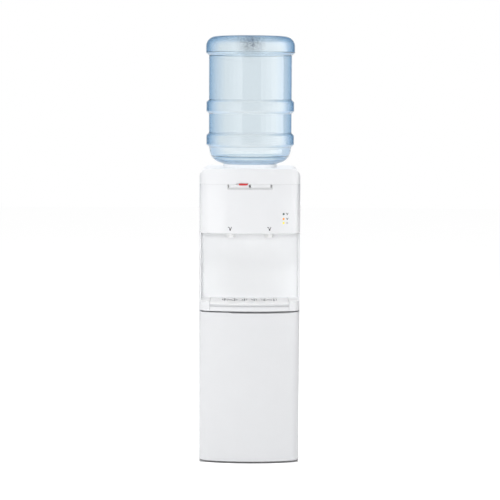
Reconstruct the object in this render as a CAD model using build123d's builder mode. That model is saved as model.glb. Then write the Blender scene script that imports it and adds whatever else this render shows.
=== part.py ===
"""Top-loading hot and cold water dispenser with a storage cabinet and an 18.9 litre bottle.

Millimetres. The origin is on the floor under the middle of the dispenser, +Z is up and the front faces -Y.
"""
import math
import os

from build123d import *

# Cabinet in plan
CABINET_WIDTH = 310.0
CABINET_FRONT = -158.0  # y of the bowed front at its middle
FRONT_BOW = 26.3  # middle of the front ahead of its sides
FRONT_CORNER = 40.0
CORNER_SHARE = 1.25  # largest corner radius for the straight side behind it
FACE_INSET = 2.0  # front mouldings stand in from the side panels
FRONT_DEPTH = 67.5  # side panels behind the front's middle
BACK_RECESS = 24.0  # back panel in from the side panels' rear edges
COVER_OVERHANG = 10.0  # top cover behind the side panels

# Material thicknesses and clearances
WALL = 3.0  # moulded plastic
SHEET = 1.5  # pressed steel
LINER = 2.0  # formed plastic liners
SEAM = 0.3  # gap between neighbouring pieces
RUN = 0.05  # radial clearance of a turning or sliding fit

# Heights, each above the one before it
FOOT_HEIGHT = 4.5
PAN_HEIGHT = 14.0
DOOR_LIFT = 1.0  # door above the top of the feet
DOOR_HEIGHT = 461.3
HINGE_PLATE = 2.0
HINGE_GAP = 0.6
SHELF_HEIGHT = 29.1
ALCOVE_HEIGHT = 209.0
PANEL_HEIGHT = 150.0
COVER_HEIGHT = 47.0
COVER_ROUND = 26.0
COVER_INSET = 0.8  # top cover in from the side panels
PANEL_ROUND = 2.5

# Feet
FOOT_RADIUS = 16.0
FOOT_GAP = 3.0  # foot beside the hinge bracket
FOOT_SETBACK = 22.5  # front feet behind the side panels' front edges
FOOT_REAR_INSET = 30.0

# Door and its hinge on the left
GASKET_ROOM = 3.5  # space between door and cabinet
HINGE_INSET = 5.5  # pin axis from the door's outer side
HINGE_SETBACK = 7.0  # pin axis in front of the door's back
PIN_RADIUS = 2.5
PIN_REACH = 13.0  # pin inside the door
BOSS_RADIUS = 5.5
DOOR_FLANGE = 11.5  # width of the door's return flange
DOOR_INSET = 0.7  # door's skin in from the side panels
DOOR_ROUND = 2.0
GASKET_WIDTH = 8.0
GASKET_INSET = 2.0
PULL_MARGIN = 28.0  # finger pull from the cabinet's right side
PULL_LENGTH = 183.0
PULL_DROP = 1.5
PULL_DEPTH = 16.0
BRACKET_WIDTH = 14.0
BRACKET_DEPTH = 40.0

# Storage liner, stepped over the compressor
STORE_STEP_RISE = 15.0  # step above the refrigerant lines
STORE_GAP = 10.0  # liner in front of the compressor
STORE_BEHIND = 12.0  # liner in front of the suction line
STORE_SIDE_GAP = 3.5

# Cup alcove, drip tray and grille
ALCOVE_DEPTH = 140.0  # alcove's back wall behind the front's middle
ALCOVE_CORNER = 3.0
TRAY_MARGIN = 34.0  # tray from the cabinet's side
TRAY_WALL = 2.5
LIP_DROP = 7.3  # tray's front edge below the ledges
LIP_THICK = 1.5
GROOVE_HEIGHT = 6.6  # the front leans in under the lip
GROOVE_DEPTH = 3.6
TRAY_GAP = 0.7  # open seam at each side of the tray
RIM_DROP = 4.5  # grille's seat below the ledges
GRILLE_THICK = 2.5
GRILLE_DEPTH = 94.0
GRILLE_ROUND = 8.0
SLOT_PITCH = 30.5
SLOT_WIDTH = 4.0
SLOT_LONG = 76.0
FINE_WIDTH = 3.0
FINE_LONG = 52.0
FINE_STEP = 7.0  # fine slot beside a long one
DOT_SIZE = (6.0, 12.0)
RING_LONG = 76.0  # oval ring in the grille under each spout
RING_WIDE = 20.0
RING_GAP = 2.5
RING_BRIDGE = 6.0
CORE_LONG = 40.0  # slotted oval inside the ring
CORE_WIDE = 11.0
CORE_RIB = 1.6

# Keys, bezel and child lock
KEY_INNER = 2.2
KEY_BEYOND = 3.2  # key's outer end past the spout's axis
KEY_HEIGHT = 9.4
KEY_PROUD = 0.5
KEY_DEPTH = 18.0
KEY_TRAVEL = 6.0
BEZEL_DEPTH = 10.5
BEZEL_SIDE = 6.0
KEY_SLIT = 2.2  # open slit beside each key
BEZEL_HEIGHT = 15.0
BEZEL_ROUND = 3.5
LOCK_INSET = 6.0  # lock from the middle of the panel
LOCK_WIDTH = 28.0
LOCK_DROP = 2.1  # lock below the panel's top edge
LOCK_HEIGHT = 5.2
LOCK_PROUD = 2.0
LOCK_ROUND = 4.0
LOCK_TRAVEL = 6.0
NOTCH_ROOM = 0.8

# Spouts and tap valves
SPOUT_X = 60.0
SPOUT_OUT = 52.0  # spout's axis in front of the alcove's back
SPOUT_DROP = 17.0
SPOUT_RADIUS = 12.0
SPOUT_BORE = 5.0
SPIGOT_RADIUS = 8.0
VALVE_RADIUS = 14.0
VALVE_HEIGHT = 48.0
PLUNGER_RADIUS = 3.5
PLUNGER_HEIGHT = 24.0  # plunger axis above the valve's seat
PLUNGER_DEPTH = 16.0  # plunger inside the valve
PLUNGER_OUT = 10.0  # plunger in front of the valve
PORT_RADIUS = 5.0
PORT_LENGTH = 6.0
ARM_WIDTH = 8.0
ARM_THICK = 5.0

# Lamps
LAMP_MARGIN = 52.0  # lamps from the cabinet's side
LAMP_DROPS = {"led_green": 89.6, "led_orange": 104.5, "led_yellow": 117.0}
LAMP_RADIUS = 3.1
LAMP_LENGTH = 8.0
BOARD_WIDE = 24.0
BOARD_MARGIN = 12.0
BOARD_THICK = 1.6

# Bottle well
WELL_RADIUS = 74.0
WELL_DEPTH = 84.0
WELL_FLANGE = 8.0
WELL_OUTLET_SHIFT = 18.0  # outlet in front of the tank's axis
SEAT_WIDTH = 28.0
COLLAR_WIDTH = 9.0
PROBE_RADIUS = 8.0
PROBE_BORE = 4.0
PROBE_IN = 28.0  # probe inside the bottle's neck
PROBE_BASE_RADIUS = 20.0
PROBE_BASE = 4.0

# Water bottle
BOTTLE_WALL = 2.0
BODY_RADIUS = 129.0
TOP_BAND_RADIUS = 138.0
TOP_BAND_HEIGHT = 60.0
TOP_ROUND = 30.0
BODY_HEIGHT = 136.0  # plain body under the top band
BAND_RADIUS = 136.5
BAND_GAP = 59.0
BAND_HEIGHT = 44.0
BAND_SLOPE = 8.0
LOWER_GAP = 8.0  # lowest band above the shoulder
SHOULDER_RADIUS = 126.5
SHOULDER_RISE = 55.0  # shoulder's start above the cover
SHOULDER_ROUND = 41.0
SHOULDER_SLOPE = 20.0  # degrees from level
NECK_RADIUS = 27.5
NECK_CLEAR = 16.0  # bottle's mouth above the well's floor
CAP_WALL = 1.5
CAP_SKIRT = 16.0
CAP_HOLE = 11.0

# Tanks
TANK_GAP = 9.0  # foam behind the alcove
BACK_GAP = 4.0  # foam in front of the back panel
TANK_WALL = 1.5
WELL_GAP = 17.0  # cold tank under the well
COLD_RADIUS = 49.0
COLD_HEIGHT = 140.0
COLD_FOAM = 64.0
FOAM_FLOOR = 15.0
EVAPORATOR_THICK = 2.5
EVAPORATOR_RISE = 10.0
EVAPORATOR_GAP = 11.0  # jacket under the cold outlet
LID_THICK = 4.0
BAFFLE_DROP = 60.0
BAFFLE_THICK = 2.0
BAFFLE_HOLE = 6.0
COLD_OUTLET_X = 25.0
STAND_HEIGHT = 26.1
STAND_INNER = 36.0
STAND_OUTER = 44.0
HOT_RADIUS = 46.0
HOT_FOAM = 62.0
HOT_GAP = 11.5  # thermostats under the tank shelf
HEATER_THICK = 2.5
HEATER_RISE = 18.0
HEATER_HEIGHT = 35.0
THERMOSTAT_RADIUS = 8.0
THERMOSTAT_HEIGHT = 10.0
THERMOSTAT_X = 22.0
STUB_RADIUS = 4.5
STUB_BORE = 3.0
STUB_OUT = 4.0  # stub beyond the foam
HOT_OUTLET_DROP = 15.0
FEED_RADIUS = 5.0
DRAIN_RISE = 10.0
DRAIN_RADIUS = 6.0
DRAIN_BORE = 3.5
DRAIN_OUT = 8.5  # drain tube behind the back panel
DRAIN_CAP_RADIUS = 10.0
DRAIN_CAP_END = 4.0
HOSE_BEND = 8.0

# Refrigeration
COMPRESSOR_X = -30.0
COMPRESSOR_GAP = 12.0  # compressor in front of the back panel
COMPRESSOR_RADIUS = 56.0
COMPRESSOR_HEIGHT = 135.0
COMPRESSOR_ROUND = 34.0
COMPRESSOR_FOOT = (150.0, 100.0, 3.0)
GROMMET_RADIUS = 9.0
GROMMET_HEIGHT = 20.5
GROMMET_SPAN = (124.0, 76.0)
LINE_RADIUS = 3.0
LINE_BEND = 12.0
LINE_SPREAD = 12.0  # each line from the compressor's axis
LINE_RISE = 18.0  # level run of the lines above the compressor
SUCTION_GAP = 14.0  # suction line in front of the back panel
CONDENSER_STANDOFF = 11.5
CONDENSER_MARGIN = 30.0  # condenser from the cabinet's side
CONDENSER_ROWS = 12
CONDENSER_PITCH = 24.0
CONDENSER_TURN = 10.8
CONDENSER_RADIUS = 2.5
CONDENSER_START = -60.0
CONDENSER_END = 20.0
WIRE_RADIUS = 0.8
WIRE_PITCH = 20.0
WIRE_COUNT = 11
WIRE_OVERHANG = 8.0
STRIP_INSET = 30.0
STRIP_WIDTH = 8.0
DRIER_RADIUS = 9.0
DRIER_LENGTH = 65.0

# Back panel fittings
SWITCH_MARGIN = 50.0  # hot switch from the cabinet's side
SWITCH_PITCH = 35.0
SWITCH_DROP = 79.0
SWITCH_SIZE = (22.0, 12.0, 34.0)
SWITCH_PROUD = 1.5
ROCKER_SIZE = (16.0, 7.0, 26.0)
ROCKER_TILT = 6.0
ROCKER_ROOM = 0.8
GLAND_MARGIN = 45.0
GLAND_HEIGHT = 60.0
GLAND_FLANGE = 12.0
GLAND_BODY = 8.0
GLAND_BORE = 4.1
GLAND_LENGTH = 10.0
SCREW_RADIUS = 4.0
SCREW_HEAD = 2.2
SCREW_MARGIN = 15.0
SCREW_LOW = 60.0
SCREW_DROP = 39.0  # top screws below the panel's top
SCREW_ROWS = 4
LOUVRE_COUNT = 7
LOUVRE_LONG = 120.0
LOUVRE_WIDE = 4.0
LOUVRE_PITCH = 14.0
LOUVRE_LOW = 50.0

# Places across the width
HALF = CABINET_WIDTH / 2
FRONT_RADIUS = (HALF**2 + FRONT_BOW**2) / (2 * FRONT_BOW)
SIDE_INNER = HALF - SHEET
FACE_HALF = HALF - FACE_INSET
HINGE_X = -FACE_HALF + HINGE_INSET
BRACKET_LEFT = HINGE_X - BOSS_RADIUS
FOOT_X = -BRACKET_LEFT - BRACKET_WIDTH - FOOT_GAP - FOOT_RADIUS
PULL_RIGHT = HALF - PULL_MARGIN
PULL_LEFT = PULL_RIGHT - PULL_LENGTH
TRAY_HALF = HALF - TRAY_MARGIN
KEY_OUTER = SPOUT_X + KEY_BEYOND
BEZEL_OUTER = KEY_OUTER + BEZEL_SIDE
LOCK_RIGHT = -LOCK_INSET
LOCK_LEFT = LOCK_RIGHT - LOCK_WIDTH
VALVE_X = {"hot": -SPOUT_X, "cold": SPOUT_X}
LAMP_X = HALF - LAMP_MARGIN
CONDENSER_HALF = HALF - CONDENSER_MARGIN
STRIP_X = CONDENSER_HALF - STRIP_INSET
SWITCH_X = {"hot_rocker": HALF - SWITCH_MARGIN, "cold_rocker": HALF - SWITCH_MARGIN - SWITCH_PITCH}
GLAND_X = GLAND_MARGIN - HALF
SCREW_X = HALF - SCREW_MARGIN

# Places from front to back
SIDE_FRONT = CABINET_FRONT + FRONT_DEPTH
DOOR_BACK = SIDE_FRONT - GASKET_ROOM
HINGE_Y = DOOR_BACK - HINGE_SETBACK
KEY_BACK = CABINET_FRONT + KEY_DEPTH
BEZEL_BACK = CABINET_FRONT + BEZEL_DEPTH
LOCK_FRONT = CABINET_FRONT - LOCK_PROUD
ALCOVE_BACK = CABINET_FRONT + ALCOVE_DEPTH
PANEL_BACK = ALCOVE_BACK + WALL
GRILLE_FRONT = ALCOVE_BACK - GRILLE_DEPTH
SPOUT_Y = ALCOVE_BACK - SPOUT_OUT
PORT_BACK = SPOUT_Y + VALVE_RADIUS + PORT_LENGTH
FOAM_REACH = max(COLD_FOAM, HOT_FOAM)
TANK_Y = PANEL_BACK + TANK_GAP + FOAM_REACH
WELL_OUTLET_Y = TANK_Y - WELL_OUTLET_SHIFT
BACK_PANEL_FRONT = TANK_Y + FOAM_REACH + BACK_GAP
BACK_PANEL_BACK = BACK_PANEL_FRONT + SHEET
SIDE_BACK = BACK_PANEL_FRONT + BACK_RECESS
CABINET_BACK = SIDE_BACK + COVER_OVERHANG
FOOT_FRONT = SIDE_FRONT + FOOT_SETBACK
FOOT_REAR = SIDE_BACK - FOOT_REAR_INSET
COMPRESSOR_Y = BACK_PANEL_FRONT - COMPRESSOR_GAP - COMPRESSOR_RADIUS
SUCTION_Y = BACK_PANEL_FRONT - SUCTION_GAP
STORE_SHALLOW = COMPRESSOR_Y - COMPRESSOR_RADIUS - STORE_GAP
STORE_DEEP = SUCTION_Y - STORE_BEHIND
CONDENSER_Y = BACK_PANEL_BACK + CONDENSER_STANDOFF

# Heights above the floor
PAN_TOP = FOOT_HEIGHT + PAN_HEIGHT
PAN_FLOOR = FOOT_HEIGHT + SHEET
DOOR_BOTTOM = FOOT_HEIGHT + DOOR_LIFT
DOOR_TOP = DOOR_BOTTOM + DOOR_HEIGHT
DECK_BOTTOM = DOOR_TOP + HINGE_GAP + HINGE_PLATE
DECK_TOP = DECK_BOTTOM + SHEET
LEDGE_TOP = DECK_TOP + SHELF_HEIGHT
TRAY_LIP = LEDGE_TOP - LIP_DROP
TRAY_RIM = LEDGE_TOP - RIM_DROP
PANEL_BOTTOM = LEDGE_TOP + ALCOVE_HEIGHT
PANEL_FLOOR = PANEL_BOTTOM + WALL
PLUNGER_Z = PANEL_FLOOR + PLUNGER_HEIGHT
SPOUT_TIP = PANEL_BOTTOM - SPOUT_DROP
PANEL_TOP = PANEL_BOTTOM + PANEL_HEIGHT
KEY_BOTTOM = PANEL_TOP - KEY_HEIGHT
BEZEL_BOTTOM = PANEL_TOP - BEZEL_HEIGHT
LOCK_BOTTOM = PANEL_TOP - LOCK_DROP
LOCK_TOP = LOCK_BOTTOM + LOCK_HEIGHT
LAMP_HEIGHTS = {name: PANEL_TOP - drop for name, drop in LAMP_DROPS.items()}
COVER_BOTTOM = PANEL_TOP + SEAM
CABINET_TOP = PANEL_TOP + COVER_HEIGHT
COVER_INNER = CABINET_TOP - WALL
WELL_FLOOR = CABINET_TOP - WELL_DEPTH
NECK_BOTTOM = WELL_FLOOR + NECK_CLEAR
PROBE_TOP = NECK_BOTTOM + PROBE_IN
SHOULDER_TOP = CABINET_TOP + SHOULDER_RISE
LOWER_BAND_TOP = SHOULDER_TOP + LOWER_GAP + BAND_HEIGHT
UPPER_BAND_TOP = LOWER_BAND_TOP + BAND_GAP + BAND_HEIGHT
TOP_BAND_BOTTOM = UPPER_BAND_TOP + BODY_HEIGHT
BOTTLE_TOP = TOP_BAND_BOTTOM + TOP_BAND_HEIGHT
COLD_TOP = WELL_FLOOR - WELL_GAP
COLD_BOTTOM = COLD_TOP - COLD_HEIGHT
BAFFLE_HEIGHT = COLD_TOP - BAFFLE_DROP
EVAPORATOR_LOW = COLD_BOTTOM + EVAPORATOR_RISE
EVAPORATOR_HIGH = PLUNGER_Z - EVAPORATOR_GAP
SUCTION_TOP = (EVAPORATOR_LOW + EVAPORATOR_HIGH) / 2
FOAM_BOTTOM = COLD_BOTTOM - FOAM_FLOOR
SHELF_BOTTOM = FOAM_BOTTOM - SHEET
HOT_BOTTOM = DECK_TOP + STAND_HEIGHT
HOT_TOP = SHELF_BOTTOM - HOT_GAP - THERMOSTAT_HEIGHT
HEATER_LOW = HOT_BOTTOM + HEATER_RISE
HEATER_HIGH = HEATER_LOW + HEATER_HEIGHT
HOT_OUTLET_Z = HOT_TOP - HOT_OUTLET_DROP
DRAIN_Z = HOT_BOTTOM + DRAIN_RISE
FOOT_PLATE = PAN_FLOOR + GROMMET_HEIGHT
COMPRESSOR_TOP = FOOT_PLATE + COMPRESSOR_HEIGHT
LINE_LEVEL = COMPRESSOR_TOP + LINE_RISE
STORE_STEP = LINE_LEVEL + STORE_STEP_RISE
SWITCH_Z = PANEL_TOP - SWITCH_DROP
GLAND_Z = GLAND_HEIGHT
SCREW_PITCH = (PANEL_TOP - SCREW_DROP - SCREW_LOW) / (SCREW_ROWS - 1)

# Other values that follow
SLOPE = math.radians(SHOULDER_SLOPE)
COLLAR_RADIUS = WELL_RADIUS + COLLAR_WIDTH
SEAT_INNER = WELL_RADIUS - SEAT_WIDTH

os.makedirs("parts", exist_ok=True)


def save(piece, name):
    """Label a finished piece and write it to its own file."""
    piece.part.label = name
    export_step(piece.part, f"parts/{name}.step")


def block(x, y, z, mode=Mode.ADD):
    """A box given by its low and high limit along each axis."""
    with Locations((sum(x) / 2, sum(y) / 2, sum(z) / 2)):
        Box(x[1] - x[0], y[1] - y[0], z[1] - z[0], mode=mode)


def post(x, y, z, radius, mode=Mode.ADD):
    """An upright cylinder between two heights."""
    with Locations((x, y, z[0])):
        Cylinder(radius, z[1] - z[0], align=(Align.CENTER, Align.CENTER, Align.MIN), mode=mode)


def rod(x, y, z, radius, mode=Mode.ADD):
    """A cylinder along Y between two depths."""
    with Locations(Location((x, y[0], z), (-90, 0, 0))):
        Cylinder(radius, y[1] - y[0], align=(Align.CENTER, Align.CENTER, Align.MIN), mode=mode)


def bar(x, y, z, radius, mode=Mode.ADD):
    """A cylinder along X between two places."""
    with Locations(Location((x[0], y, z), (0, 90, 0))):
        Cylinder(radius, x[1] - x[0], align=(Align.CENTER, Align.CENTER, Align.MIN), mode=mode)


def pipe(points, bend, radius, bore=None, mode=Mode.ADD):
    """A round pipe along straight runs joined by arcs, hollow where a bore is given."""
    with BuildLine() as route:
        FilletPolyline(*points, radius=bend)
    with BuildSketch(Plane(origin=route.line @ 0, z_dir=route.line % 0)) as section:
        Circle(radius)
        if bore:
            Circle(bore, mode=Mode.SUBTRACT)
    sweep(section.sketch, path=route.wire(), mode=mode)


def front_y(x, inset):
    """Depth of the bowed front at x, drawn in by inset."""
    return CABINET_FRONT + FRONT_RADIUS - math.sqrt((FRONT_RADIUS - inset) ** 2 - x**2)


def plan_body(inset, back, z, mode=Mode.ADD):
    """A block with the cabinet's plan, drawn in by inset: bowed front, rounded front corners, straight back."""
    half = HALF - inset
    side = front_y(half, inset)
    with BuildSketch(Plane.XY.offset(z[0])) as plan:
        with BuildLine():
            ThreePointArc((-half, side), (0, front_y(0, inset)), (half, side))
            Polyline((half, side), (half, back), (-half, back), (-half, side))
        make_face()
        corner = min(FRONT_CORNER - inset, CORNER_SHARE * (back - side))
        fillet(plan.vertices().group_by(Axis.Y)[0], corner)
    extrude(plan.sketch, amount=z[1] - z[0], mode=mode)


def upright_plate(half, z, rounded_end, corner, back, mode):
    """A plate facing the front, with its lower (0) or upper (-1) corners rounded, from the front to a depth."""
    with BuildSketch(Plane.XZ.offset(-back)) as outline:
        with Locations((0, sum(z) / 2)):
            Rectangle(2 * half, z[1] - z[0])
        fillet(outline.vertices().group_by(Axis.Y)[rounded_end], corner)
    extrude(outline.sketch, amount=back - CABINET_FRONT, mode=mode)


# Base pan, feet and deck
with BuildPart() as base_pan:
    block((-SIDE_INNER + SEAM, SIDE_INNER - SEAM), (SIDE_FRONT, SIDE_BACK), (FOOT_HEIGHT, PAN_TOP))
    block(
        (-SIDE_INNER + SEAM + SHEET, SIDE_INNER - SEAM - SHEET),
        (SIDE_FRONT + SHEET, SIDE_BACK - SHEET),
        (FOOT_HEIGHT + SHEET, PAN_TOP),
        mode=Mode.SUBTRACT,
    )
save(base_pan, "base_pan")

with BuildPart() as feet:
    for x in (-FOOT_X, FOOT_X):
        for y in (FOOT_FRONT, FOOT_REAR):
            post(x, y, (0, FOOT_HEIGHT), FOOT_RADIUS)
save(feet, "feet")

# Side and back panels
for name, side in (("left_side_panel", -1), ("right_side_panel", 1)):
    with BuildPart() as side_panel:
        block(sorted((side * SIDE_INNER, side * HALF)), (SIDE_FRONT, SIDE_BACK), (FOOT_HEIGHT, PANEL_TOP))
    save(side_panel, name)

# Hinge brackets above and below the door, and the two pins
with BuildPart() as hinge_brackets:
    for level in ((FOOT_HEIGHT - HINGE_PLATE, FOOT_HEIGHT), (DECK_BOTTOM - HINGE_PLATE, DECK_BOTTOM)):
        block(
            (BRACKET_LEFT, BRACKET_LEFT + BRACKET_WIDTH),
            (HINGE_Y, SIDE_FRONT + BRACKET_DEPTH),
            level,
        )
        post(HINGE_X, HINGE_Y, level, BOSS_RADIUS)
        post(HINGE_X, HINGE_Y, level, PIN_RADIUS, mode=Mode.SUBTRACT)
save(hinge_brackets, "hinge_brackets")

with BuildPart() as hinge_pins:
    post(HINGE_X, HINGE_Y, (FOOT_HEIGHT - HINGE_PLATE, DOOR_BOTTOM + PIN_REACH), PIN_RADIUS)
    post(HINGE_X, HINGE_Y, (DOOR_TOP - PIN_REACH, DECK_BOTTOM), PIN_RADIUS)
save(hinge_pins, "hinge_pins")

# Door: outer panel with a return flange and hinge bosses, inner liner and gasket
FLANGE_HALF = FACE_HALF - DOOR_FLANGE
FLANGE_LOW = DOOR_BOTTOM + DOOR_FLANGE
FLANGE_HIGH = DOOR_TOP - DOOR_FLANGE
PULL_FRONT = front_y(PULL_RIGHT, DOOR_INSET) + WALL
with BuildPart() as door_panel:
    plan_body(DOOR_INSET, DOOR_BACK, (DOOR_BOTTOM, DOOR_TOP))
    for end in (0, -1):
        fillet(door_panel.faces().sort_by(Axis.Z)[end].edges().sort_by(Axis.Y)[:-1], DOOR_ROUND)
    plan_body(DOOR_INSET + WALL, DOOR_BACK - WALL, (DOOR_BOTTOM + WALL, DOOR_TOP - WALL), mode=Mode.SUBTRACT)
    block(
        (-FLANGE_HALF, FLANGE_HALF),
        (DOOR_BACK - WALL, DOOR_BACK),
        (FLANGE_LOW, FLANGE_HIGH),
        mode=Mode.SUBTRACT,
    )
    for level in ((DOOR_BOTTOM, DOOR_BOTTOM + PIN_REACH), (DOOR_TOP - PIN_REACH, DOOR_TOP)):
        post(HINGE_X, HINGE_Y, level, BOSS_RADIUS)
        post(HINGE_X, HINGE_Y, level, PIN_RADIUS + RUN, mode=Mode.SUBTRACT)
    block(
        (PULL_LEFT, PULL_RIGHT),
        (CABINET_FRONT, DOOR_BACK),
        (DOOR_TOP - PULL_DROP, DOOR_TOP),
        mode=Mode.SUBTRACT,
    )
    block(
        (PULL_LEFT, PULL_RIGHT),
        (PULL_FRONT, PULL_FRONT + PULL_DEPTH),
        (DOOR_TOP - WALL, DOOR_TOP),
        mode=Mode.SUBTRACT,
    )
save(door_panel, "door_panel")

with BuildPart() as door_liner:
    block(
        (-FLANGE_HALF + SEAM, FLANGE_HALF - SEAM),
        (DOOR_BACK - WALL, DOOR_BACK),
        (FLANGE_LOW + SEAM, FLANGE_HIGH - SEAM),
    )
save(door_liner, "door_liner")

GASKET_HALF = FLANGE_HALF - GASKET_INSET
with BuildPart() as door_gasket:
    with BuildSketch(Plane.XZ.offset(-DOOR_BACK)):
        with Locations((0, (FLANGE_LOW + FLANGE_HIGH) / 2)):
            Rectangle(2 * GASKET_HALF, FLANGE_HIGH - FLANGE_LOW - 2 * GASKET_INSET)
            Rectangle(
                2 * (GASKET_HALF - GASKET_WIDTH),
                FLANGE_HIGH - FLANGE_LOW - 2 * (GASKET_INSET + GASKET_WIDTH),
                mode=Mode.SUBTRACT,
            )
    extrude(amount=-(SIDE_FRONT - DOOR_BACK - SEAM))
save(door_gasket, "door_gasket")

# Storage liner: a box open to the front, stepped over the compressor
STORE_HALF = SIDE_INNER - STORE_SIDE_GAP
STORE_TOP = DECK_BOTTOM - HINGE_PLATE


def store_profile(drawn_in):
    """Side profile of the storage space, drawn in by a wall."""
    low = PAN_TOP + drawn_in
    step = STORE_STEP + drawn_in
    high = STORE_TOP - drawn_in
    shallow = STORE_SHALLOW - drawn_in
    deep = STORE_DEEP - drawn_in
    return [(SIDE_FRONT, low), (shallow, low), (shallow, step), (deep, step), (deep, high), (SIDE_FRONT, high)]


with BuildPart() as storage_liner:
    for drawn_in, mode in ((0, Mode.ADD), (LINER, Mode.SUBTRACT)):
        with BuildSketch(Plane.YZ.offset(-STORE_HALF + drawn_in)):
            with BuildLine():
                Polyline(*store_profile(drawn_in), close=True)
            make_face()
        extrude(amount=2 * (STORE_HALF - drawn_in), mode=mode)
save(storage_liner, "storage_liner")

# Tray shelf: the fascia between door and alcove, with a ledge at each side of the tray's bay
TRAY_FLOOR = DECK_TOP + WALL + SEAM
FASCIA_BACK = front_y(TRAY_HALF, FACE_INSET) + WALL
GRILLE_TOP = TRAY_RIM + GRILLE_THICK
BAY_HALF = TRAY_HALF + TRAY_GAP
with BuildPart() as tray_shelf:
    plan_body(FACE_INSET, PANEL_BACK, (DECK_TOP, LEDGE_TOP))
    for side in (-1, 1):
        block(
            sorted((side * (BAY_HALF + WALL), side * (FACE_HALF - WALL))),
            (FASCIA_BACK + FRONT_CORNER / 2, PANEL_BACK - WALL),
            (DECK_TOP, LEDGE_TOP - WALL),
            mode=Mode.SUBTRACT,
        )
    block((-BAY_HALF, BAY_HALF), (CABINET_FRONT, ALCOVE_BACK), (DECK_TOP + WALL, LEDGE_TOP), mode=Mode.SUBTRACT)
    block((-BAY_HALF, BAY_HALF), (CABINET_FRONT, FASCIA_BACK + SEAM), (DECK_TOP, LEDGE_TOP), mode=Mode.SUBTRACT)
save(tray_shelf, "tray_shelf")

# Drip tray: its front closes the bay, its bowl catches drips under the grille
TRAY_BACK = ALCOVE_BACK - SEAM
GROOVE_TOP = TRAY_LIP - LIP_THICK
with BuildPart() as lip_groove:
    with BuildSketch(Plane.YZ) as slope:
        with BuildLine():
            Polyline(
                (CABINET_FRONT, GROOVE_TOP),
                (CABINET_FRONT + FACE_INSET, GROOVE_TOP),
                (CABINET_FRONT + FACE_INSET + GROOVE_DEPTH, GROOVE_TOP - GROOVE_HEIGHT),
                (CABINET_FRONT, GROOVE_TOP - GROOVE_HEIGHT),
                close=True,
            )
        make_face()
    revolve(slope.sketch, axis=Axis((0, CABINET_FRONT + FRONT_RADIUS, 0), (0, 0, 1)))

with BuildPart() as drip_tray:
    plan_body(FACE_INSET, TRAY_BACK, (DECK_TOP + SEAM, GRILLE_TOP))
    block((-TRAY_HALF, TRAY_HALF), (CABINET_FRONT, TRAY_BACK), (DECK_TOP, GRILLE_TOP), mode=Mode.INTERSECT)
    block((-TRAY_HALF, TRAY_HALF), (FASCIA_BACK, TRAY_BACK), (DECK_TOP, TRAY_FLOOR), mode=Mode.SUBTRACT)
    block((-TRAY_HALF, TRAY_HALF), (GRILLE_FRONT, TRAY_BACK), (TRAY_RIM, GRILLE_TOP), mode=Mode.SUBTRACT)
    block(
        (-TRAY_HALF + TRAY_WALL, TRAY_HALF - TRAY_WALL),
        (GRILLE_FRONT + TRAY_WALL, TRAY_BACK - TRAY_WALL),
        (TRAY_FLOOR + TRAY_WALL, TRAY_RIM),
        mode=Mode.SUBTRACT,
    )
    with BuildSketch(Plane.YZ.offset(-TRAY_HALF)):
        with BuildLine():
            Polyline(
                (CABINET_FRONT, TRAY_LIP),
                (GRILLE_FRONT, GRILLE_TOP),
                (CABINET_FRONT, GRILLE_TOP),
                close=True,
            )
        make_face()
    extrude(amount=2 * TRAY_HALF, mode=Mode.SUBTRACT)
    add(lip_groove.part, mode=Mode.SUBTRACT)
save(drip_tray, "drip_tray")

# Drip grille: a slotted oval under each spout, long slots beside it, fine slots and dots between
GRILLE_HALF = TRAY_HALF - SEAM
GRILLE_MIDDLE = (GRILLE_FRONT + TRAY_BACK) / 2
RING_REACH = RING_WIDE / 2 + RING_GAP
LONG_SLOTS = [side * (number + 0.5) * SLOT_PITCH for side in (-1, 1) for number in range(3)]
FINE_SLOTS = [
    x + step
    for x in LONG_SLOTS
    for step in (-FINE_STEP, FINE_STEP)
    if abs(abs(x + step) - SPOUT_X) > RING_REACH
]
CORE_RIBS = [x + side * CORE_WIDE / 6 for x in VALVE_X.values() for side in (-1, 1)]
with BuildPart() as drip_grille:
    with BuildSketch(Plane.XY.offset(TRAY_RIM)) as plate:
        with Locations((0, GRILLE_MIDDLE)):
            Rectangle(2 * GRILLE_HALF, TRAY_BACK - GRILLE_FRONT - 2 * SEAM)
        fillet(plate.vertices().group_by(Axis.Y)[-1], GRILLE_ROUND)
    extrude(amount=GRILLE_THICK)
    with BuildSketch(Plane.XY.offset(TRAY_RIM)):
        with Locations((-SPOUT_X, GRILLE_MIDDLE), (SPOUT_X, GRILLE_MIDDLE)):
            SlotOverall(RING_LONG, RING_WIDE, rotation=90)
            SlotOverall(RING_LONG - 2 * RING_GAP, RING_WIDE - 2 * RING_GAP, rotation=90, mode=Mode.SUBTRACT)
            Rectangle(RING_BRIDGE, RING_LONG, mode=Mode.SUBTRACT)
            Rectangle(RING_WIDE, RING_BRIDGE, mode=Mode.SUBTRACT)
            SlotOverall(CORE_LONG, CORE_WIDE, rotation=90)
        with Locations(*[(x, GRILLE_MIDDLE) for x in CORE_RIBS]):
            Rectangle(CORE_RIB, CORE_LONG, mode=Mode.SUBTRACT)
        with Locations(*[(x, GRILLE_MIDDLE) for x in LONG_SLOTS]):
            SlotOverall(SLOT_LONG, SLOT_WIDTH, rotation=90)
        with Locations(*[(x, GRILLE_MIDDLE) for x in FINE_SLOTS]):
            SlotOverall(FINE_LONG, FINE_WIDTH, rotation=90)
        with Locations(*[(x, GRILLE_MIDDLE) for x in (-SLOT_PITCH, 0, SLOT_PITCH)]):
            Rectangle(*DOT_SIZE)
    extrude(amount=GRILLE_THICK, mode=Mode.SUBTRACT)
save(drip_grille, "drip_grille")

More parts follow.
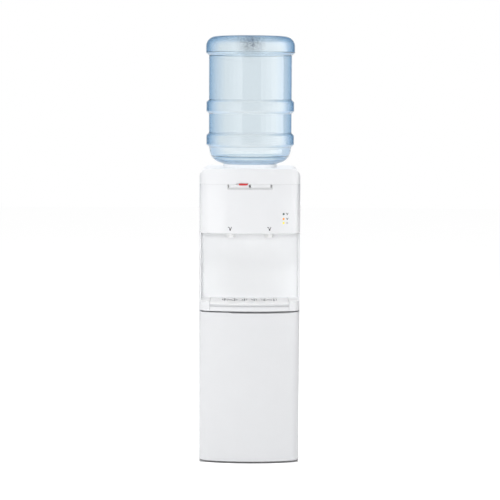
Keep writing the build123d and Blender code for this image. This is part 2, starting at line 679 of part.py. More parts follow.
# Alcove liner: back wall and cheeks of the cup space
ALCOVE_HALF = SIDE_INNER - SEAM
ALCOVE_MIDDLE = (SIDE_FRONT + PANEL_BACK) / 2
with BuildPart() as alcove_liner:
    for drawn_in, mode in ((0, Mode.ADD), (WALL, Mode.SUBTRACT)):
        with BuildSketch(Plane.XY.offset(LEDGE_TOP)) as outline:
            with Locations((0, ALCOVE_MIDDLE - drawn_in / 2)):
                Rectangle(2 * (ALCOVE_HALF - drawn_in), PANEL_BACK - SIDE_FRONT - drawn_in)
            fillet(outline.vertices().group_by(Axis.Y)[-1], ALCOVE_CORNER + WALL - drawn_in)
        extrude(amount=PANEL_BOTTOM - SEAM - LEDGE_TOP, mode=mode)
save(alcove_liner, "alcove_liner")

# Control panel: bowed front shell with a floor that carries the spouts
with BuildPart() as control_panel:
    plan_body(FACE_INSET, PANEL_BACK, (PANEL_BOTTOM, PANEL_TOP))
    fillet(control_panel.faces().sort_by(Axis.Z)[0].edges().sort_by(Axis.Y)[:-1], PANEL_ROUND)
    plan_body(FACE_INSET + WALL, PANEL_BACK, (PANEL_FLOOR, PANEL_TOP), mode=Mode.SUBTRACT)
    upright_plate(
        BEZEL_OUTER + SEAM,
        (BEZEL_BOTTOM - SEAM, PANEL_TOP),
        0,
        BEZEL_ROUND + SEAM,
        KEY_BACK,
        Mode.SUBTRACT,
    )
    for x in VALVE_X.values():
        post(x, SPOUT_Y, (PANEL_BOTTOM, PANEL_FLOOR), SPIGOT_RADIUS + RUN, mode=Mode.SUBTRACT)
    for z in LAMP_HEIGHTS.values():
        rod(LAMP_X, (CABINET_FRONT, KEY_BACK + FRONT_CORNER / 2), z, LAMP_RADIUS + RUN, mode=Mode.SUBTRACT)
save(control_panel, "control_panel")

# Grey bezel round the keys
with BuildPart() as button_bezel:
    plan_body(FACE_INSET, SIDE_FRONT, (BEZEL_BOTTOM, PANEL_TOP))
    upright_plate(BEZEL_OUTER, (BEZEL_BOTTOM, PANEL_TOP), 0, BEZEL_ROUND, BEZEL_BACK, Mode.INTERSECT)
    block(
        (-KEY_OUTER - KEY_SLIT, KEY_OUTER + KEY_SLIT),
        (CABINET_FRONT, BEZEL_BACK),
        (KEY_BOTTOM - SEAM, PANEL_TOP),
        mode=Mode.SUBTRACT,
    )
save(button_bezel, "button_bezel")

# Hot and cold keys: each pushes its valve's plunger through an arm behind the panel
PLUNGER_TIP = SPOUT_Y - VALVE_RADIUS - PLUNGER_OUT
for name, side in (("hot_button", -1), ("cold_button", 1)):
    arm = sorted((side * (KEY_OUTER - ARM_WIDTH), side * KEY_OUTER))
    foot = (PLUNGER_Z - ARM_WIDTH / 2, PLUNGER_Z + ARM_WIDTH / 2)
    with BuildPart() as key:
        plan_body(FACE_INSET - KEY_PROUD, SIDE_FRONT, (KEY_BOTTOM, PANEL_TOP))
        block(
            sorted((side * KEY_INNER, side * KEY_OUTER)),
            (CABINET_FRONT, KEY_BACK),
            (KEY_BOTTOM, PANEL_TOP),
            mode=Mode.INTERSECT,
        )
        block(arm, (KEY_BACK - ARM_THICK, KEY_BACK), (foot[0], PANEL_TOP))
        block(arm, (KEY_BACK - ARM_THICK, PLUNGER_TIP - SEAM), foot)
    save(key, name)

# Red child lock that slides across the hot key
with BuildPart() as child_lock:
    plan_body(LOCK_FRONT - CABINET_FRONT, SIDE_FRONT, (LOCK_BOTTOM, LOCK_TOP))
    plan_body(FACE_INSET - KEY_PROUD - SEAM, SIDE_FRONT, (LOCK_BOTTOM, LOCK_TOP), mode=Mode.SUBTRACT)
    block((LOCK_LEFT, LOCK_RIGHT), (LOCK_FRONT, KEY_BACK), (LOCK_BOTTOM, LOCK_TOP), mode=Mode.INTERSECT)
    fillet(child_lock.edges().filter_by(Axis.Y).group_by(Axis.Z)[0], LOCK_ROUND)
save(child_lock, "child_lock")

# Lamps and the board behind them
LAMP_FRONT = front_y(LAMP_X, FACE_INSET)
for name, z in LAMP_HEIGHTS.items():
    with BuildPart() as lamp:
        rod(LAMP_X, (LAMP_FRONT, LAMP_FRONT + LAMP_LENGTH), z, LAMP_RADIUS)
    save(lamp, name)

with BuildPart() as indicator_board:
    block(
        (LAMP_X - BOARD_WIDE / 2, LAMP_X + BOARD_WIDE / 2),
        (LAMP_FRONT + LAMP_LENGTH, LAMP_FRONT + LAMP_LENGTH + BOARD_THICK),
        (min(LAMP_HEIGHTS.values()) - BOARD_MARGIN, max(LAMP_HEIGHTS.values()) + BOARD_MARGIN),
    )
save(indicator_board, "indicator_board")

# Spouts, tap valves and plungers
VALVE_TOP = PANEL_FLOOR + VALVE_HEIGHT
PLUNGER_BACK = SPOUT_Y - VALVE_RADIUS + PLUNGER_DEPTH
with BuildPart() as spouts:
    for x in VALVE_X.values():
        post(x, SPOUT_Y, (SPOUT_TIP, PANEL_BOTTOM), SPOUT_RADIUS)
        post(x, SPOUT_Y, (PANEL_BOTTOM, PANEL_FLOOR), SPIGOT_RADIUS)
        post(x, SPOUT_Y, (SPOUT_TIP, PANEL_FLOOR), SPOUT_BORE, mode=Mode.SUBTRACT)
save(spouts, "spouts")

with BuildPart() as tap_valves:
    for x in VALVE_X.values():
        post(x, SPOUT_Y, (PANEL_FLOOR, VALVE_TOP), VALVE_RADIUS)
        rod(x, (SPOUT_Y, PORT_BACK), PLUNGER_Z, PORT_RADIUS)
        rod(
            x,
            (SPOUT_Y - VALVE_RADIUS, PLUNGER_BACK + KEY_TRAVEL + SEAM),
            PLUNGER_Z,
            PLUNGER_RADIUS + RUN,
            mode=Mode.SUBTRACT,
        )
        post(x, SPOUT_Y, (PANEL_FLOOR, PLUNGER_Z - PLUNGER_RADIUS - WALL), SPOUT_BORE, mode=Mode.SUBTRACT)
save(tap_valves, "tap_valves")

for name, x in VALVE_X.items():
    with BuildPart() as plunger:
        rod(x, (PLUNGER_TIP, PLUNGER_BACK), PLUNGER_Z, PLUNGER_RADIUS)
    save(plunger, f"{name}_plunger")

# Top cover: a lid with rounded shoulders, the well's hole and a pocket for the child lock
NOTCH_X = (LOCK_LEFT - LOCK_TRAVEL - NOTCH_ROOM, LOCK_RIGHT + NOTCH_ROOM)
NOTCH_TOP = LOCK_TOP + NOTCH_ROOM
NOTCH_BACK = front_y(NOTCH_X[0], FACE_INSET - KEY_PROUD - SEAM) + KEY_TRAVEL + SEAM
with BuildPart() as cover_core:
    plan_body(COVER_INSET + WALL, CABINET_BACK - WALL, (COVER_BOTTOM, COVER_INNER))
    upright_plate(
        HALF - COVER_INSET - WALL,
        (COVER_BOTTOM, COVER_INNER),
        -1,
        COVER_ROUND - WALL,
        CABINET_BACK - WALL,
        Mode.INTERSECT,
    )

with BuildPart() as top_cover:
    plan_body(COVER_INSET, CABINET_BACK, (COVER_BOTTOM, CABINET_TOP))
    upright_plate(
        HALF - COVER_INSET,
        (COVER_BOTTOM, CABINET_TOP),
        -1,
        COVER_ROUND,
        CABINET_BACK,
        Mode.INTERSECT,
    )
    add(cover_core.part, mode=Mode.SUBTRACT)
    post(0, 0, (COVER_INNER, CABINET_TOP), WELL_RADIUS + SEAM, mode=Mode.SUBTRACT)
    block(
        (NOTCH_X[0] - WALL, NOTCH_X[1] + WALL),
        (CABINET_FRONT + WALL, NOTCH_BACK + WALL),
        (COVER_BOTTOM, NOTCH_TOP + WALL),
    )
    block(NOTCH_X, (CABINET_FRONT, NOTCH_BACK), (COVER_BOTTOM, NOTCH_TOP), mode=Mode.SUBTRACT)
save(top_cover, "top_cover")

# Bottle: the shoulder turns from upright to a cone that rests on the collar
ARC_RADIUS = SHOULDER_RADIUS - SHOULDER_ROUND  # centre of the shoulder's arc


def shoulder_point(round_radius, angle):
    """A point of the shoulder's arc, its angle measured down from level."""
    return (ARC_RADIUS + round_radius * math.cos(angle), SHOULDER_TOP - round_radius * math.sin(angle))


def cone_height(radius, drawn_in):
    """Height of the shoulder's cone at a radius, drawn in from the bottle's outside."""
    start = shoulder_point(SHOULDER_ROUND - drawn_in, math.pi / 2 - SLOPE)
    return start[1] - (start[0] - radius) * math.tan(SLOPE)


def bottle_body(drawn_in, mode):
    """The bottle turned about its axis, drawn in by a wall, open at its mouth."""
    top = BOTTLE_TOP - drawn_in
    crown = TOP_BAND_RADIUS - drawn_in
    body = BODY_RADIUS - drawn_in
    neck = NECK_RADIUS - drawn_in
    turn = TOP_ROUND - drawn_in
    side = [(crown, top - turn), (crown, TOP_BAND_BOTTOM + BAND_SLOPE), (body, TOP_BAND_BOTTOM)]
    for band in (UPPER_BAND_TOP, LOWER_BAND_TOP):
        band_side = BAND_RADIUS - drawn_in
        side.append((body, band))
        side.append((band_side, band - BAND_SLOPE))
        side.append((band_side, band - BAND_HEIGHT + BAND_SLOPE))
        side.append((body, band - BAND_HEIGHT))
    side.append((SHOULDER_RADIUS - drawn_in, SHOULDER_TOP))
    arc_end = math.pi / 2 - SLOPE
    arc = SHOULDER_ROUND - drawn_in
    corner = (crown - turn + turn * math.sin(math.pi / 4), top - turn + turn * math.cos(math.pi / 4))
    with BuildSketch(Plane.XZ) as half:
        with BuildLine():
            Line((0, top), (crown - turn, top))
            ThreePointArc((crown - turn, top), corner, (crown, top - turn))
            Polyline(*side)
            ThreePointArc(side[-1], shoulder_point(arc, arc_end / 2), shoulder_point(arc, arc_end))
            Polyline(
                shoulder_point(arc, arc_end),
                (neck, cone_height(neck, drawn_in)),
                (neck, NECK_BOTTOM),
                (0, NECK_BOTTOM),
                (0, top),
            )
        make_face()
    revolve(half.sketch, axis=Axis.Z, mode=mode)


with BuildPart() as water_bottle:
    bottle_body(0, Mode.ADD)
    bottle_body(BOTTLE_WALL, Mode.SUBTRACT)
save(water_bottle, "water_bottle")

with BuildPart() as bottle_cap:
    post(0, 0, (NECK_BOTTOM - CAP_WALL, NECK_BOTTOM + CAP_SKIRT), NECK_RADIUS + RUN + CAP_WALL)
    post(0, 0, (NECK_BOTTOM, NECK_BOTTOM + CAP_SKIRT), NECK_RADIUS + RUN, mode=Mode.SUBTRACT)
    post(0, 0, (NECK_BOTTOM - CAP_WALL, NECK_BOTTOM), CAP_HOLE, mode=Mode.SUBTRACT)
save(bottle_cap, "bottle_cap")

# Collar: a ring on the cover whose cone carries the bottle's shoulder
SEAT_DROP = SEAM / math.cos(SLOPE)


def seat_height(radius):
    """Height of the collar's cone, just clear of the bottle."""
    return cone_height(radius, 0) - SEAT_DROP


with BuildPart() as bottle_collar:
    with BuildSketch(Plane.XZ):
        with BuildLine():
            Polyline(
                (SEAT_INNER, seat_height(SEAT_INNER)),
                (COLLAR_RADIUS, seat_height(COLLAR_RADIUS)),
                (COLLAR_RADIUS, CABINET_TOP),
                (WELL_RADIUS, CABINET_TOP),
                (WELL_RADIUS, seat_height(WELL_RADIUS) - WALL),
                (SEAT_INNER, seat_height(SEAT_INNER) - WALL),
                close=True,
            )
        make_face()
    revolve(axis=Axis.Z)
save(bottle_collar, "bottle_collar")

# Well funnel under the collar, with an outlet into the cold tank
LID_TOP = COLD_TOP + LID_THICK
with BuildPart() as well_funnel:
    post(0, 0, (WELL_FLOOR, COVER_INNER), WELL_RADIUS)
    post(0, 0, (COVER_INNER - WALL, COVER_INNER), WELL_RADIUS + WELL_FLANGE)
    post(0, 0, (WELL_FLOOR + WALL, COVER_INNER), WELL_RADIUS - WALL, mode=Mode.SUBTRACT)
    post(0, WELL_OUTLET_Y, (LID_TOP, WELL_FLOOR), DRAIN_RADIUS)
    post(0, WELL_OUTLET_Y, (LID_TOP, WELL_FLOOR + WALL), DRAIN_BORE, mode=Mode.SUBTRACT)
save(well_funnel, "well_funnel")

with BuildPart() as feed_probe:
    post(0, 0, (WELL_FLOOR + WALL, WELL_FLOOR + WALL + PROBE_BASE), PROBE_BASE_RADIUS)
    post(0, 0, (WELL_FLOOR + WALL, PROBE_TOP), PROBE_RADIUS)
    post(0, 0, (WELL_FLOOR + WALL, PROBE_TOP), PROBE_BORE, mode=Mode.SUBTRACT)
save(feed_probe, "feed_probe")

# Cold tank with its lid, baffle, evaporator jacket and foam
COLD_STUB_FRONT = TANK_Y - COLD_FOAM - STUB_OUT
SUCTION_X = COMPRESSOR_X - LINE_SPREAD
SUCTION_REACH = (COLD_RADIUS + EVAPORATOR_THICK) / math.hypot(SUCTION_X, SUCTION_Y - TANK_Y)
SUCTION_ROUTE = [
    (SUCTION_X, COMPRESSOR_Y, COMPRESSOR_TOP),
    (SUCTION_X, COMPRESSOR_Y, LINE_LEVEL),
    (SUCTION_X, SUCTION_Y, LINE_LEVEL),
    (SUCTION_X, SUCTION_Y, SUCTION_TOP),
    (SUCTION_X * SUCTION_REACH, TANK_Y + (SUCTION_Y - TANK_Y) * SUCTION_REACH, SUCTION_TOP),
]
with BuildPart() as cold_tank:
    post(0, TANK_Y, (COLD_BOTTOM, COLD_TOP), COLD_RADIUS)
    rod(COLD_OUTLET_X, (COLD_STUB_FRONT, TANK_Y), PLUNGER_Z, STUB_RADIUS)
    post(0, TANK_Y, (COLD_BOTTOM + TANK_WALL, COLD_TOP), COLD_RADIUS - TANK_WALL, mode=Mode.SUBTRACT)
    rod(COLD_OUTLET_X, (COLD_STUB_FRONT, TANK_Y), PLUNGER_Z, STUB_BORE, mode=Mode.SUBTRACT)
save(cold_tank, "cold_tank")

with BuildPart() as cold_tank_lid:
    post(0, TANK_Y, (COLD_TOP, LID_TOP), COLD_FOAM)
    post(0, WELL_OUTLET_Y, (COLD_TOP, LID_TOP), DRAIN_BORE, mode=Mode.SUBTRACT)
save(cold_tank_lid, "cold_tank_lid")

with BuildPart() as cold_tank_baffle:
    post(0, TANK_Y, (BAFFLE_HEIGHT, BAFFLE_HEIGHT + BAFFLE_THICK), COLD_RADIUS - TANK_WALL - SEAM)
    post(0, TANK_Y, (BAFFLE_HEIGHT, BAFFLE_HEIGHT + BAFFLE_THICK), BAFFLE_HOLE, mode=Mode.SUBTRACT)
save(cold_tank_baffle, "cold_tank_baffle")

with BuildPart() as evaporator_jacket:
    post(0, TANK_Y, (EVAPORATOR_LOW, EVAPORATOR_HIGH), COLD_RADIUS + EVAPORATOR_THICK)
    post(0, TANK_Y, (EVAPORATOR_LOW, EVAPORATOR_HIGH), COLD_RADIUS, mode=Mode.SUBTRACT)
save(evaporator_jacket, "evaporator_jacket")

# Hot tank with its stand, heater band, foam and thermostats
HOT_STUB_END = -HOT_FOAM - STUB_OUT
with BuildPart() as hot_tank:
    post(0, TANK_Y, (HOT_BOTTOM, HOT_TOP), HOT_RADIUS)
    bar((HOT_STUB_END, 0), TANK_Y, HOT_OUTLET_Z, STUB_RADIUS)
    post(0, TANK_Y, (HOT_BOTTOM + TANK_WALL, HOT_TOP - TANK_WALL), HOT_RADIUS - TANK_WALL, mode=Mode.SUBTRACT)
    bar((HOT_STUB_END, 0), TANK_Y, HOT_OUTLET_Z, STUB_BORE, mode=Mode.SUBTRACT)
save(hot_tank, "hot_tank")

with BuildPart() as hot_tank_stand:
    post(0, TANK_Y, (DECK_TOP, HOT_BOTTOM), STAND_OUTER)
    post(0, TANK_Y, (DECK_TOP, HOT_BOTTOM), STAND_INNER, mode=Mode.SUBTRACT)
save(hot_tank_stand, "hot_tank_stand")

with BuildPart() as heater_band:
    post(0, TANK_Y, (HEATER_LOW, HEATER_HIGH), HOT_RADIUS + HEATER_THICK)
    post(0, TANK_Y, (HEATER_LOW, HEATER_HIGH), HOT_RADIUS, mode=Mode.SUBTRACT)
save(heater_band, "heater_band")

with BuildPart() as tank_foam:
    post(0, TANK_Y, (FOAM_BOTTOM, COLD_TOP), COLD_FOAM)
    post(0, TANK_Y, (COLD_BOTTOM, COLD_TOP), COLD_RADIUS + EVAPORATOR_THICK + SEAM, mode=Mode.SUBTRACT)
    post(0, TANK_Y, (FOAM_BOTTOM, COLD_BOTTOM), FEED_RADIUS + SEAM, mode=Mode.SUBTRACT)
    rod(COLD_OUTLET_X, (COLD_STUB_FRONT, TANK_Y), PLUNGER_Z, STUB_RADIUS + SEAM, mode=Mode.SUBTRACT)
    pipe(SUCTION_ROUTE[-3:], LINE_BEND / 2, LINE_RADIUS + SEAM, mode=Mode.SUBTRACT)
    post(0, TANK_Y, (HOT_BOTTOM, HOT_TOP), HOT_FOAM)
    post(0, TANK_Y, (HOT_BOTTOM, HOT_TOP), HOT_RADIUS + HEATER_THICK + SEAM, mode=Mode.SUBTRACT)
    bar((HOT_STUB_END, 0), TANK_Y, HOT_OUTLET_Z, STUB_RADIUS + SEAM, mode=Mode.SUBTRACT)
    rod(0, (TANK_Y, TANK_Y + HOT_FOAM), DRAIN_Z, DRAIN_RADIUS + SEAM, mode=Mode.SUBTRACT)
save(tank_foam, "tank_foam")

with BuildPart() as thermostats:
    for side in (-1, 1):
        post(side * THERMOSTAT_X, TANK_Y, (HOT_TOP, HOT_TOP + THERMOSTAT_HEIGHT), THERMOSTAT_RADIUS)
save(thermostats, "thermostats")

# Water hoses, feed and drain tubes
HOT_HOSE_X = HOT_STUB_END - 2 * HOSE_BEND - STUB_OUT
HOT_ROUTE = [
    (HOT_STUB_END, TANK_Y, HOT_OUTLET_Z),
    (HOT_HOSE_X, TANK_Y, HOT_OUTLET_Z),
    (HOT_HOSE_X, TANK_Y, PLUNGER_Z),
    (HOT_HOSE_X, PORT_BACK + 6 * HOSE_BEND, PLUNGER_Z),
    (VALVE_X["hot"], PORT_BACK + 4 * HOSE_BEND, PLUNGER_Z),
    (VALVE_X["hot"], PORT_BACK, PLUNGER_Z),
]
COLD_ROUTE = [
    (COLD_OUTLET_X, COLD_STUB_FRONT, PLUNGER_Z),
    (COLD_OUTLET_X, COLD_STUB_FRONT - 2 * HOSE_BEND, PLUNGER_Z),
    (VALVE_X["cold"], PORT_BACK + 2 * HOSE_BEND, PLUNGER_Z),
    (VALVE_X["cold"], PORT_BACK, PLUNGER_Z),
]
with BuildPart() as water_hoses:
    for route in (HOT_ROUTE, COLD_ROUTE):
        pipe(route, HOSE_BEND, STUB_RADIUS, STUB_BORE)
save(water_hoses, "water_hoses")

DRAIN_END = BACK_PANEL_BACK + DRAIN_OUT
with BuildPart() as tank_tubes:
    post(0, TANK_Y, (HOT_TOP, COLD_BOTTOM), FEED_RADIUS)
    post(0, TANK_Y, (HOT_TOP, COLD_BOTTOM), STUB_BORE, mode=Mode.SUBTRACT)
    rod(0, (TANK_Y + HOT_RADIUS, DRAIN_END), DRAIN_Z, DRAIN_RADIUS)
    rod(0, (TANK_Y + HOT_RADIUS, DRAIN_END), DRAIN_Z, DRAIN_BORE, mode=Mode.SUBTRACT)
save(tank_tubes, "tank_tubes")

with BuildPart() as drain_cap:
    rod(0, (BACK_PANEL_BACK + SEAM, DRAIN_END + SEAM + DRAIN_CAP_END), DRAIN_Z, DRAIN_CAP_RADIUS)
    rod(0, (BACK_PANEL_BACK + SEAM, DRAIN_END + SEAM), DRAIN_Z, DRAIN_RADIUS + RUN, mode=Mode.SUBTRACT)
save(drain_cap, "drain_cap")

# Deck over the storage space and shelf under the cold tank, with holes for the pipes
with BuildPart() as deck:
    block((-SIDE_INNER + SEAM, SIDE_INNER - SEAM), (SIDE_FRONT, BACK_PANEL_FRONT), (DECK_BOTTOM, DECK_TOP))
    post(SUCTION_X, SUCTION_Y, (DECK_BOTTOM, DECK_TOP), LINE_RADIUS + SEAM, mode=Mode.SUBTRACT)
save(deck, "deck")

with BuildPart() as tank_shelf:
    block(
        (-SIDE_INNER + SEAM, SIDE_INNER - SEAM),
        (PANEL_BACK + SEAM, BACK_PANEL_FRONT),
        (SHELF_BOTTOM, FOAM_BOTTOM),
    )
    post(SUCTION_X, SUCTION_Y, (SHELF_BOTTOM, FOAM_BOTTOM), LINE_RADIUS + SEAM, mode=Mode.SUBTRACT)
    post(HOT_HOSE_X, TANK_Y, (SHELF_BOTTOM, FOAM_BOTTOM), STUB_RADIUS + SEAM, mode=Mode.SUBTRACT)
    post(0, TANK_Y, (SHELF_BOTTOM, FOAM_BOTTOM), FEED_RADIUS + SEAM, mode=Mode.SUBTRACT)
save(tank_shelf, "tank_shelf")

# Compressor on its grommets
with BuildPart() as compressor_grommets:
    with Locations((COMPRESSOR_X, COMPRESSOR_Y, PAN_FLOOR)):
        with GridLocations(*GROMMET_SPAN, 2, 2):
            Cylinder(GROMMET_RADIUS, GROMMET_HEIGHT, align=(Align.CENTER, Align.CENTER, Align.MIN))
save(compressor_grommets, "compressor_grommets")

with BuildPart() as compressor:
    post(COMPRESSOR_X, COMPRESSOR_Y, (FOOT_PLATE, COMPRESSOR_TOP), COMPRESSOR_RADIUS)
    fillet(compressor.edges().sort_by(Axis.Z)[-1], COMPRESSOR_ROUND)
    with Locations((COMPRESSOR_X, COMPRESSOR_Y, FOOT_PLATE)):
        Box(*COMPRESSOR_FOOT, align=(Align.CENTER, Align.CENTER, Align.MIN))
save(compressor, "compressor")

# Refrigerant lines, condenser and drier
DISCHARGE_X = COMPRESSOR_X + LINE_SPREAD
DISCHARGE_ROUTE = [
    (DISCHARGE_X, COMPRESSOR_Y, COMPRESSOR_TOP),
    (DISCHARGE_X, COMPRESSOR_Y, LINE_LEVEL),
    (DISCHARGE_X, CONDENSER_Y, LINE_LEVEL),
    (CONDENSER_START, CONDENSER_Y, LINE_LEVEL),
]
with BuildPart() as refrigerant_lines:
    pipe(SUCTION_ROUTE, (LINE_BEND / 2, LINE_BEND, LINE_BEND / 2), LINE_RADIUS)
    pipe(DISCHARGE_ROUTE, LINE_BEND / 2, CONDENSER_RADIUS)
save(refrigerant_lines, "refrigerant_lines")

condenser_route = [(CONDENSER_START, CONDENSER_Y, LINE_LEVEL)]
for row in range(CONDENSER_ROWS - 1):
    turn_x = CONDENSER_HALF if row % 2 else -CONDENSER_HALF
    condenser_route.append((turn_x, CONDENSER_Y, LINE_LEVEL + row * CONDENSER_PITCH))
    condenser_route.append((turn_x, CONDENSER_Y, LINE_LEVEL + (row + 1) * CONDENSER_PITCH))
CONDENSER_TOP = LINE_LEVEL + (CONDENSER_ROWS - 1) * CONDENSER_PITCH
condenser_route.append((CONDENSER_END, CONDENSER_Y, CONDENSER_TOP))
with BuildPart() as condenser_tube:
    pipe(condenser_route, CONDENSER_TURN, CONDENSER_RADIUS)
save(condenser_tube, "condenser_tube")
print("condenser tube gap", CONDENSER_PITCH - 2 * CONDENSER_RADIUS)

WIRE_Y = CONDENSER_Y + CONDENSER_RADIUS + WIRE_RADIUS + RUN
RACK_LEVELS = (LINE_LEVEL - WIRE_OVERHANG, CONDENSER_TOP - CONDENSER_PITCH + WIRE_OVERHANG)
with BuildPart() as condenser_rack:
    for number in range(WIRE_COUNT):
        post((number - (WIRE_COUNT - 1) / 2) * WIRE_PITCH, WIRE_Y, RACK_LEVELS, WIRE_RADIUS)
    for x in (-STRIP_X, STRIP_X):
        block(
            (x - STRIP_WIDTH / 2, x + STRIP_WIDTH / 2),
            (BACK_PANEL_BACK, CONDENSER_Y - CONDENSER_RADIUS - RUN),
            RACK_LEVELS,
        )
save(condenser_rack, "condenser_rack")

with BuildPart() as filter_drier:
    bar((CONDENSER_END, CONDENSER_END + DRIER_LENGTH), CONDENSER_Y, CONDENSER_TOP, DRIER_RADIUS)
save(filter_drier, "filter_drier")

# Back panel with its cut-outs and louvres
PANEL_EDGE = SIDE_INNER - 2 * SEAM - SHEET
with BuildPart() as back_panel:
    block((-PANEL_EDGE, PANEL_EDGE), (BACK_PANEL_FRONT, BACK_PANEL_BACK), (PAN_FLOOR, PANEL_TOP))
    for x in SWITCH_X.values():
        block(
            (x - SWITCH_SIZE[0] / 2 - SEAM, x + SWITCH_SIZE[0] / 2 + SEAM),
            (BACK_PANEL_FRONT, BACK_PANEL_BACK),
            (SWITCH_Z - SWITCH_SIZE[2] / 2 - SEAM, SWITCH_Z + SWITCH_SIZE[2] / 2 + SEAM),
            mode=Mode.SUBTRACT,
        )
    for x, z, radius in (
        (0, DRAIN_Z, DRAIN_RADIUS),
        (DISCHARGE_X, LINE_LEVEL, CONDENSER_RADIUS),
        (GLAND_X, GLAND_Z, GLAND_BODY),
    ):
        rod(x, (BACK_PANEL_FRONT, BACK_PANEL_BACK), z, radius + SEAM, mode=Mode.SUBTRACT)
    for number in range(LOUVRE_COUNT):
        level = LOUVRE_LOW + number * LOUVRE_PITCH
        block(
            (COMPRESSOR_X - LOUVRE_LONG / 2, COMPRESSOR_X + LOUVRE_LONG / 2),
            (BACK_PANEL_FRONT, BACK_PANEL_BACK),
            (level, level + LOUVRE_WIDE),
            mode=Mode.SUBTRACT,
        )
save(back_panel, "back_panel")

# Rocker switches
SWITCH_BACK = BACK_PANEL_BACK + SWITCH_PROUD
ROCKER_Y = SWITCH_BACK - ROCKER_SIZE[1] / 2
with BuildPart() as switch_housings:
    for x in SWITCH_X.values():
        with Locations((x, SWITCH_BACK, SWITCH_Z)):
            Box(*SWITCH_SIZE, align=(Align.CENTER, Align.MAX, Align.CENTER))
            Box(
                ROCKER_SIZE[0] + 2 * ROCKER_ROOM,
                ROCKER_SIZE[1] + 4 * ROCKER_ROOM,
                ROCKER_SIZE[2] + 2 * ROCKER_ROOM,
                align=(Align.CENTER, Align.MAX, Align.CENTER),
                mode=Mode.SUBTRACT,
            )
save(switch_housings, "switch_housings")

for name, x in SWITCH_X.items():
    with BuildPart() as rocker:
        with Locations(Location((x, ROCKER_Y, SWITCH_Z), (ROCKER_TILT, 0, 0))):
            Box(*ROCKER_SIZE)
    save(rocker, name)

# Cord gland and case screws
with BuildPart() as cord_gland:
    rod(GLAND_X, (BACK_PANEL_FRONT - GLAND_LENGTH / 2, BACK_PANEL_BACK), GLAND_Z, GLAND_BODY)
    rod(GLAND_X, (BACK_PANEL_BACK, BACK_PANEL_BACK + WALL), GLAND_Z, GLAND_FLANGE)
    rod(GLAND_X, (BACK_PANEL_BACK, BACK_PANEL_BACK + GLAND_LENGTH), GLAND_Z, GLAND_BODY)
    rod(
        GLAND_X,
        (BACK_PANEL_FRONT - GLAND_LENGTH / 2, BACK_PANEL_BACK + GLAND_LENGTH),
        GLAND_Z,
        GLAND_BORE,
        mode=Mode.SUBTRACT,
    )
save(cord_gland, "cord_gland")

with BuildPart() as case_screws:
    for x in (-SCREW_X, SCREW_X):
        for row in range(SCREW_ROWS):
            level = SCREW_LOW + row * SCREW_PITCH
            rod(x, (BACK_PANEL_BACK, BACK_PANEL_BACK + SCREW_HEAD), level, SCREW_RADIUS)
save(case_screws, "case_screws")
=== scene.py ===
"""Looks of the water dispenser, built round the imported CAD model.

Metres, in the frame of the CAD model: +Z is up and the front faces -Y.
"""
import math

import bmesh
import bpy
from mathutils import Matrix, Vector


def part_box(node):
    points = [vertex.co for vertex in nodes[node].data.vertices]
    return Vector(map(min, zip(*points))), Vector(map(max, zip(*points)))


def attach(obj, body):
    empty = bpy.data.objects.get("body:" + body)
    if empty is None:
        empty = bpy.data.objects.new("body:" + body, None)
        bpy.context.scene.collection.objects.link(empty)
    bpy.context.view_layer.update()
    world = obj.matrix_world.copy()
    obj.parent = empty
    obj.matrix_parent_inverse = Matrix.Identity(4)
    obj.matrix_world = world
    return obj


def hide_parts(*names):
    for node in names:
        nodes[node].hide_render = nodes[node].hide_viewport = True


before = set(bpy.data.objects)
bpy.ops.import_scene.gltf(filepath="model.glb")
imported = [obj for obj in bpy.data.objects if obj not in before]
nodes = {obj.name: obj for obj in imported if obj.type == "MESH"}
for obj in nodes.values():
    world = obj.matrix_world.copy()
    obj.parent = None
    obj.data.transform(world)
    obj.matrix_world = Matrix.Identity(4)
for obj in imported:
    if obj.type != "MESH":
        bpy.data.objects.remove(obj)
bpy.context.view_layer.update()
scene = bpy.context.scene
MM = 0.001

# Plan of the cabinet, in millimetres. The printed marks lie on its bowed front.
HALF_WIDTH = 155.0
FRONT_BOW = 26.3
FRONT_Y = -158.0
BACK_Y = 160.0
PANEL_INSET = 2.0
FRONT_RADIUS = (HALF_WIDTH**2 + FRONT_BOW**2) / (2 * FRONT_BOW)


def panel_y(x):
    """Depth of the control panel's front at x, in millimetres."""
    return FRONT_Y + FRONT_RADIUS - math.sqrt((FRONT_RADIUS - PANEL_INSET) ** 2 - x**2)


# Camera
CAMERA_PLACE = (0.0012, -5.2, 1.1168)
CAMERA_PITCH = math.radians(5.1723)
CAMERA_ROLL = math.radians(0.28)
CAMERA_REACH = 100
FOCAL_PIXELS = 1665.0
IMAGE_PIXELS = 500.0
SENSOR = 36.0

camera = bpy.data.objects.new("camera", bpy.data.cameras.new("camera"))
scene.collection.objects.link(camera)
camera.data.sensor_width = SENSOR
camera.data.lens = FOCAL_PIXELS * SENSOR / IMAGE_PIXELS
camera.data.clip_end = CAMERA_REACH
camera.matrix_world = (
    Matrix.Translation(CAMERA_PLACE)
    @ Matrix.Rotation(math.pi / 2 - CAMERA_PITCH, 4, "X")
    @ Matrix.Rotation(CAMERA_ROLL, 4, "Z")
)
scene.camera = camera
scene.view_settings.view_transform = "Standard"


def linear(red, green, blue):
    """A display colour, 0 to 255, as linear light."""
    def channel(value):
        value = value / 255
        return value / 12.92 if value <= 0.04045 else ((value + 0.055) / 1.055) ** 2.4
    return (channel(red), channel(green), channel(blue), 1.0)


# Noise, in cycles per metre, and the part of its range that it mostly fills
COLOUR_MOTTLE = 18.0
ROUGH_MOTTLE = 45.0
NOISE_LOW = 0.3
NOISE_HIGH = 0.7
GRAIN_DETAIL = 2.0
GRAIN_STRENGTH = 0.25


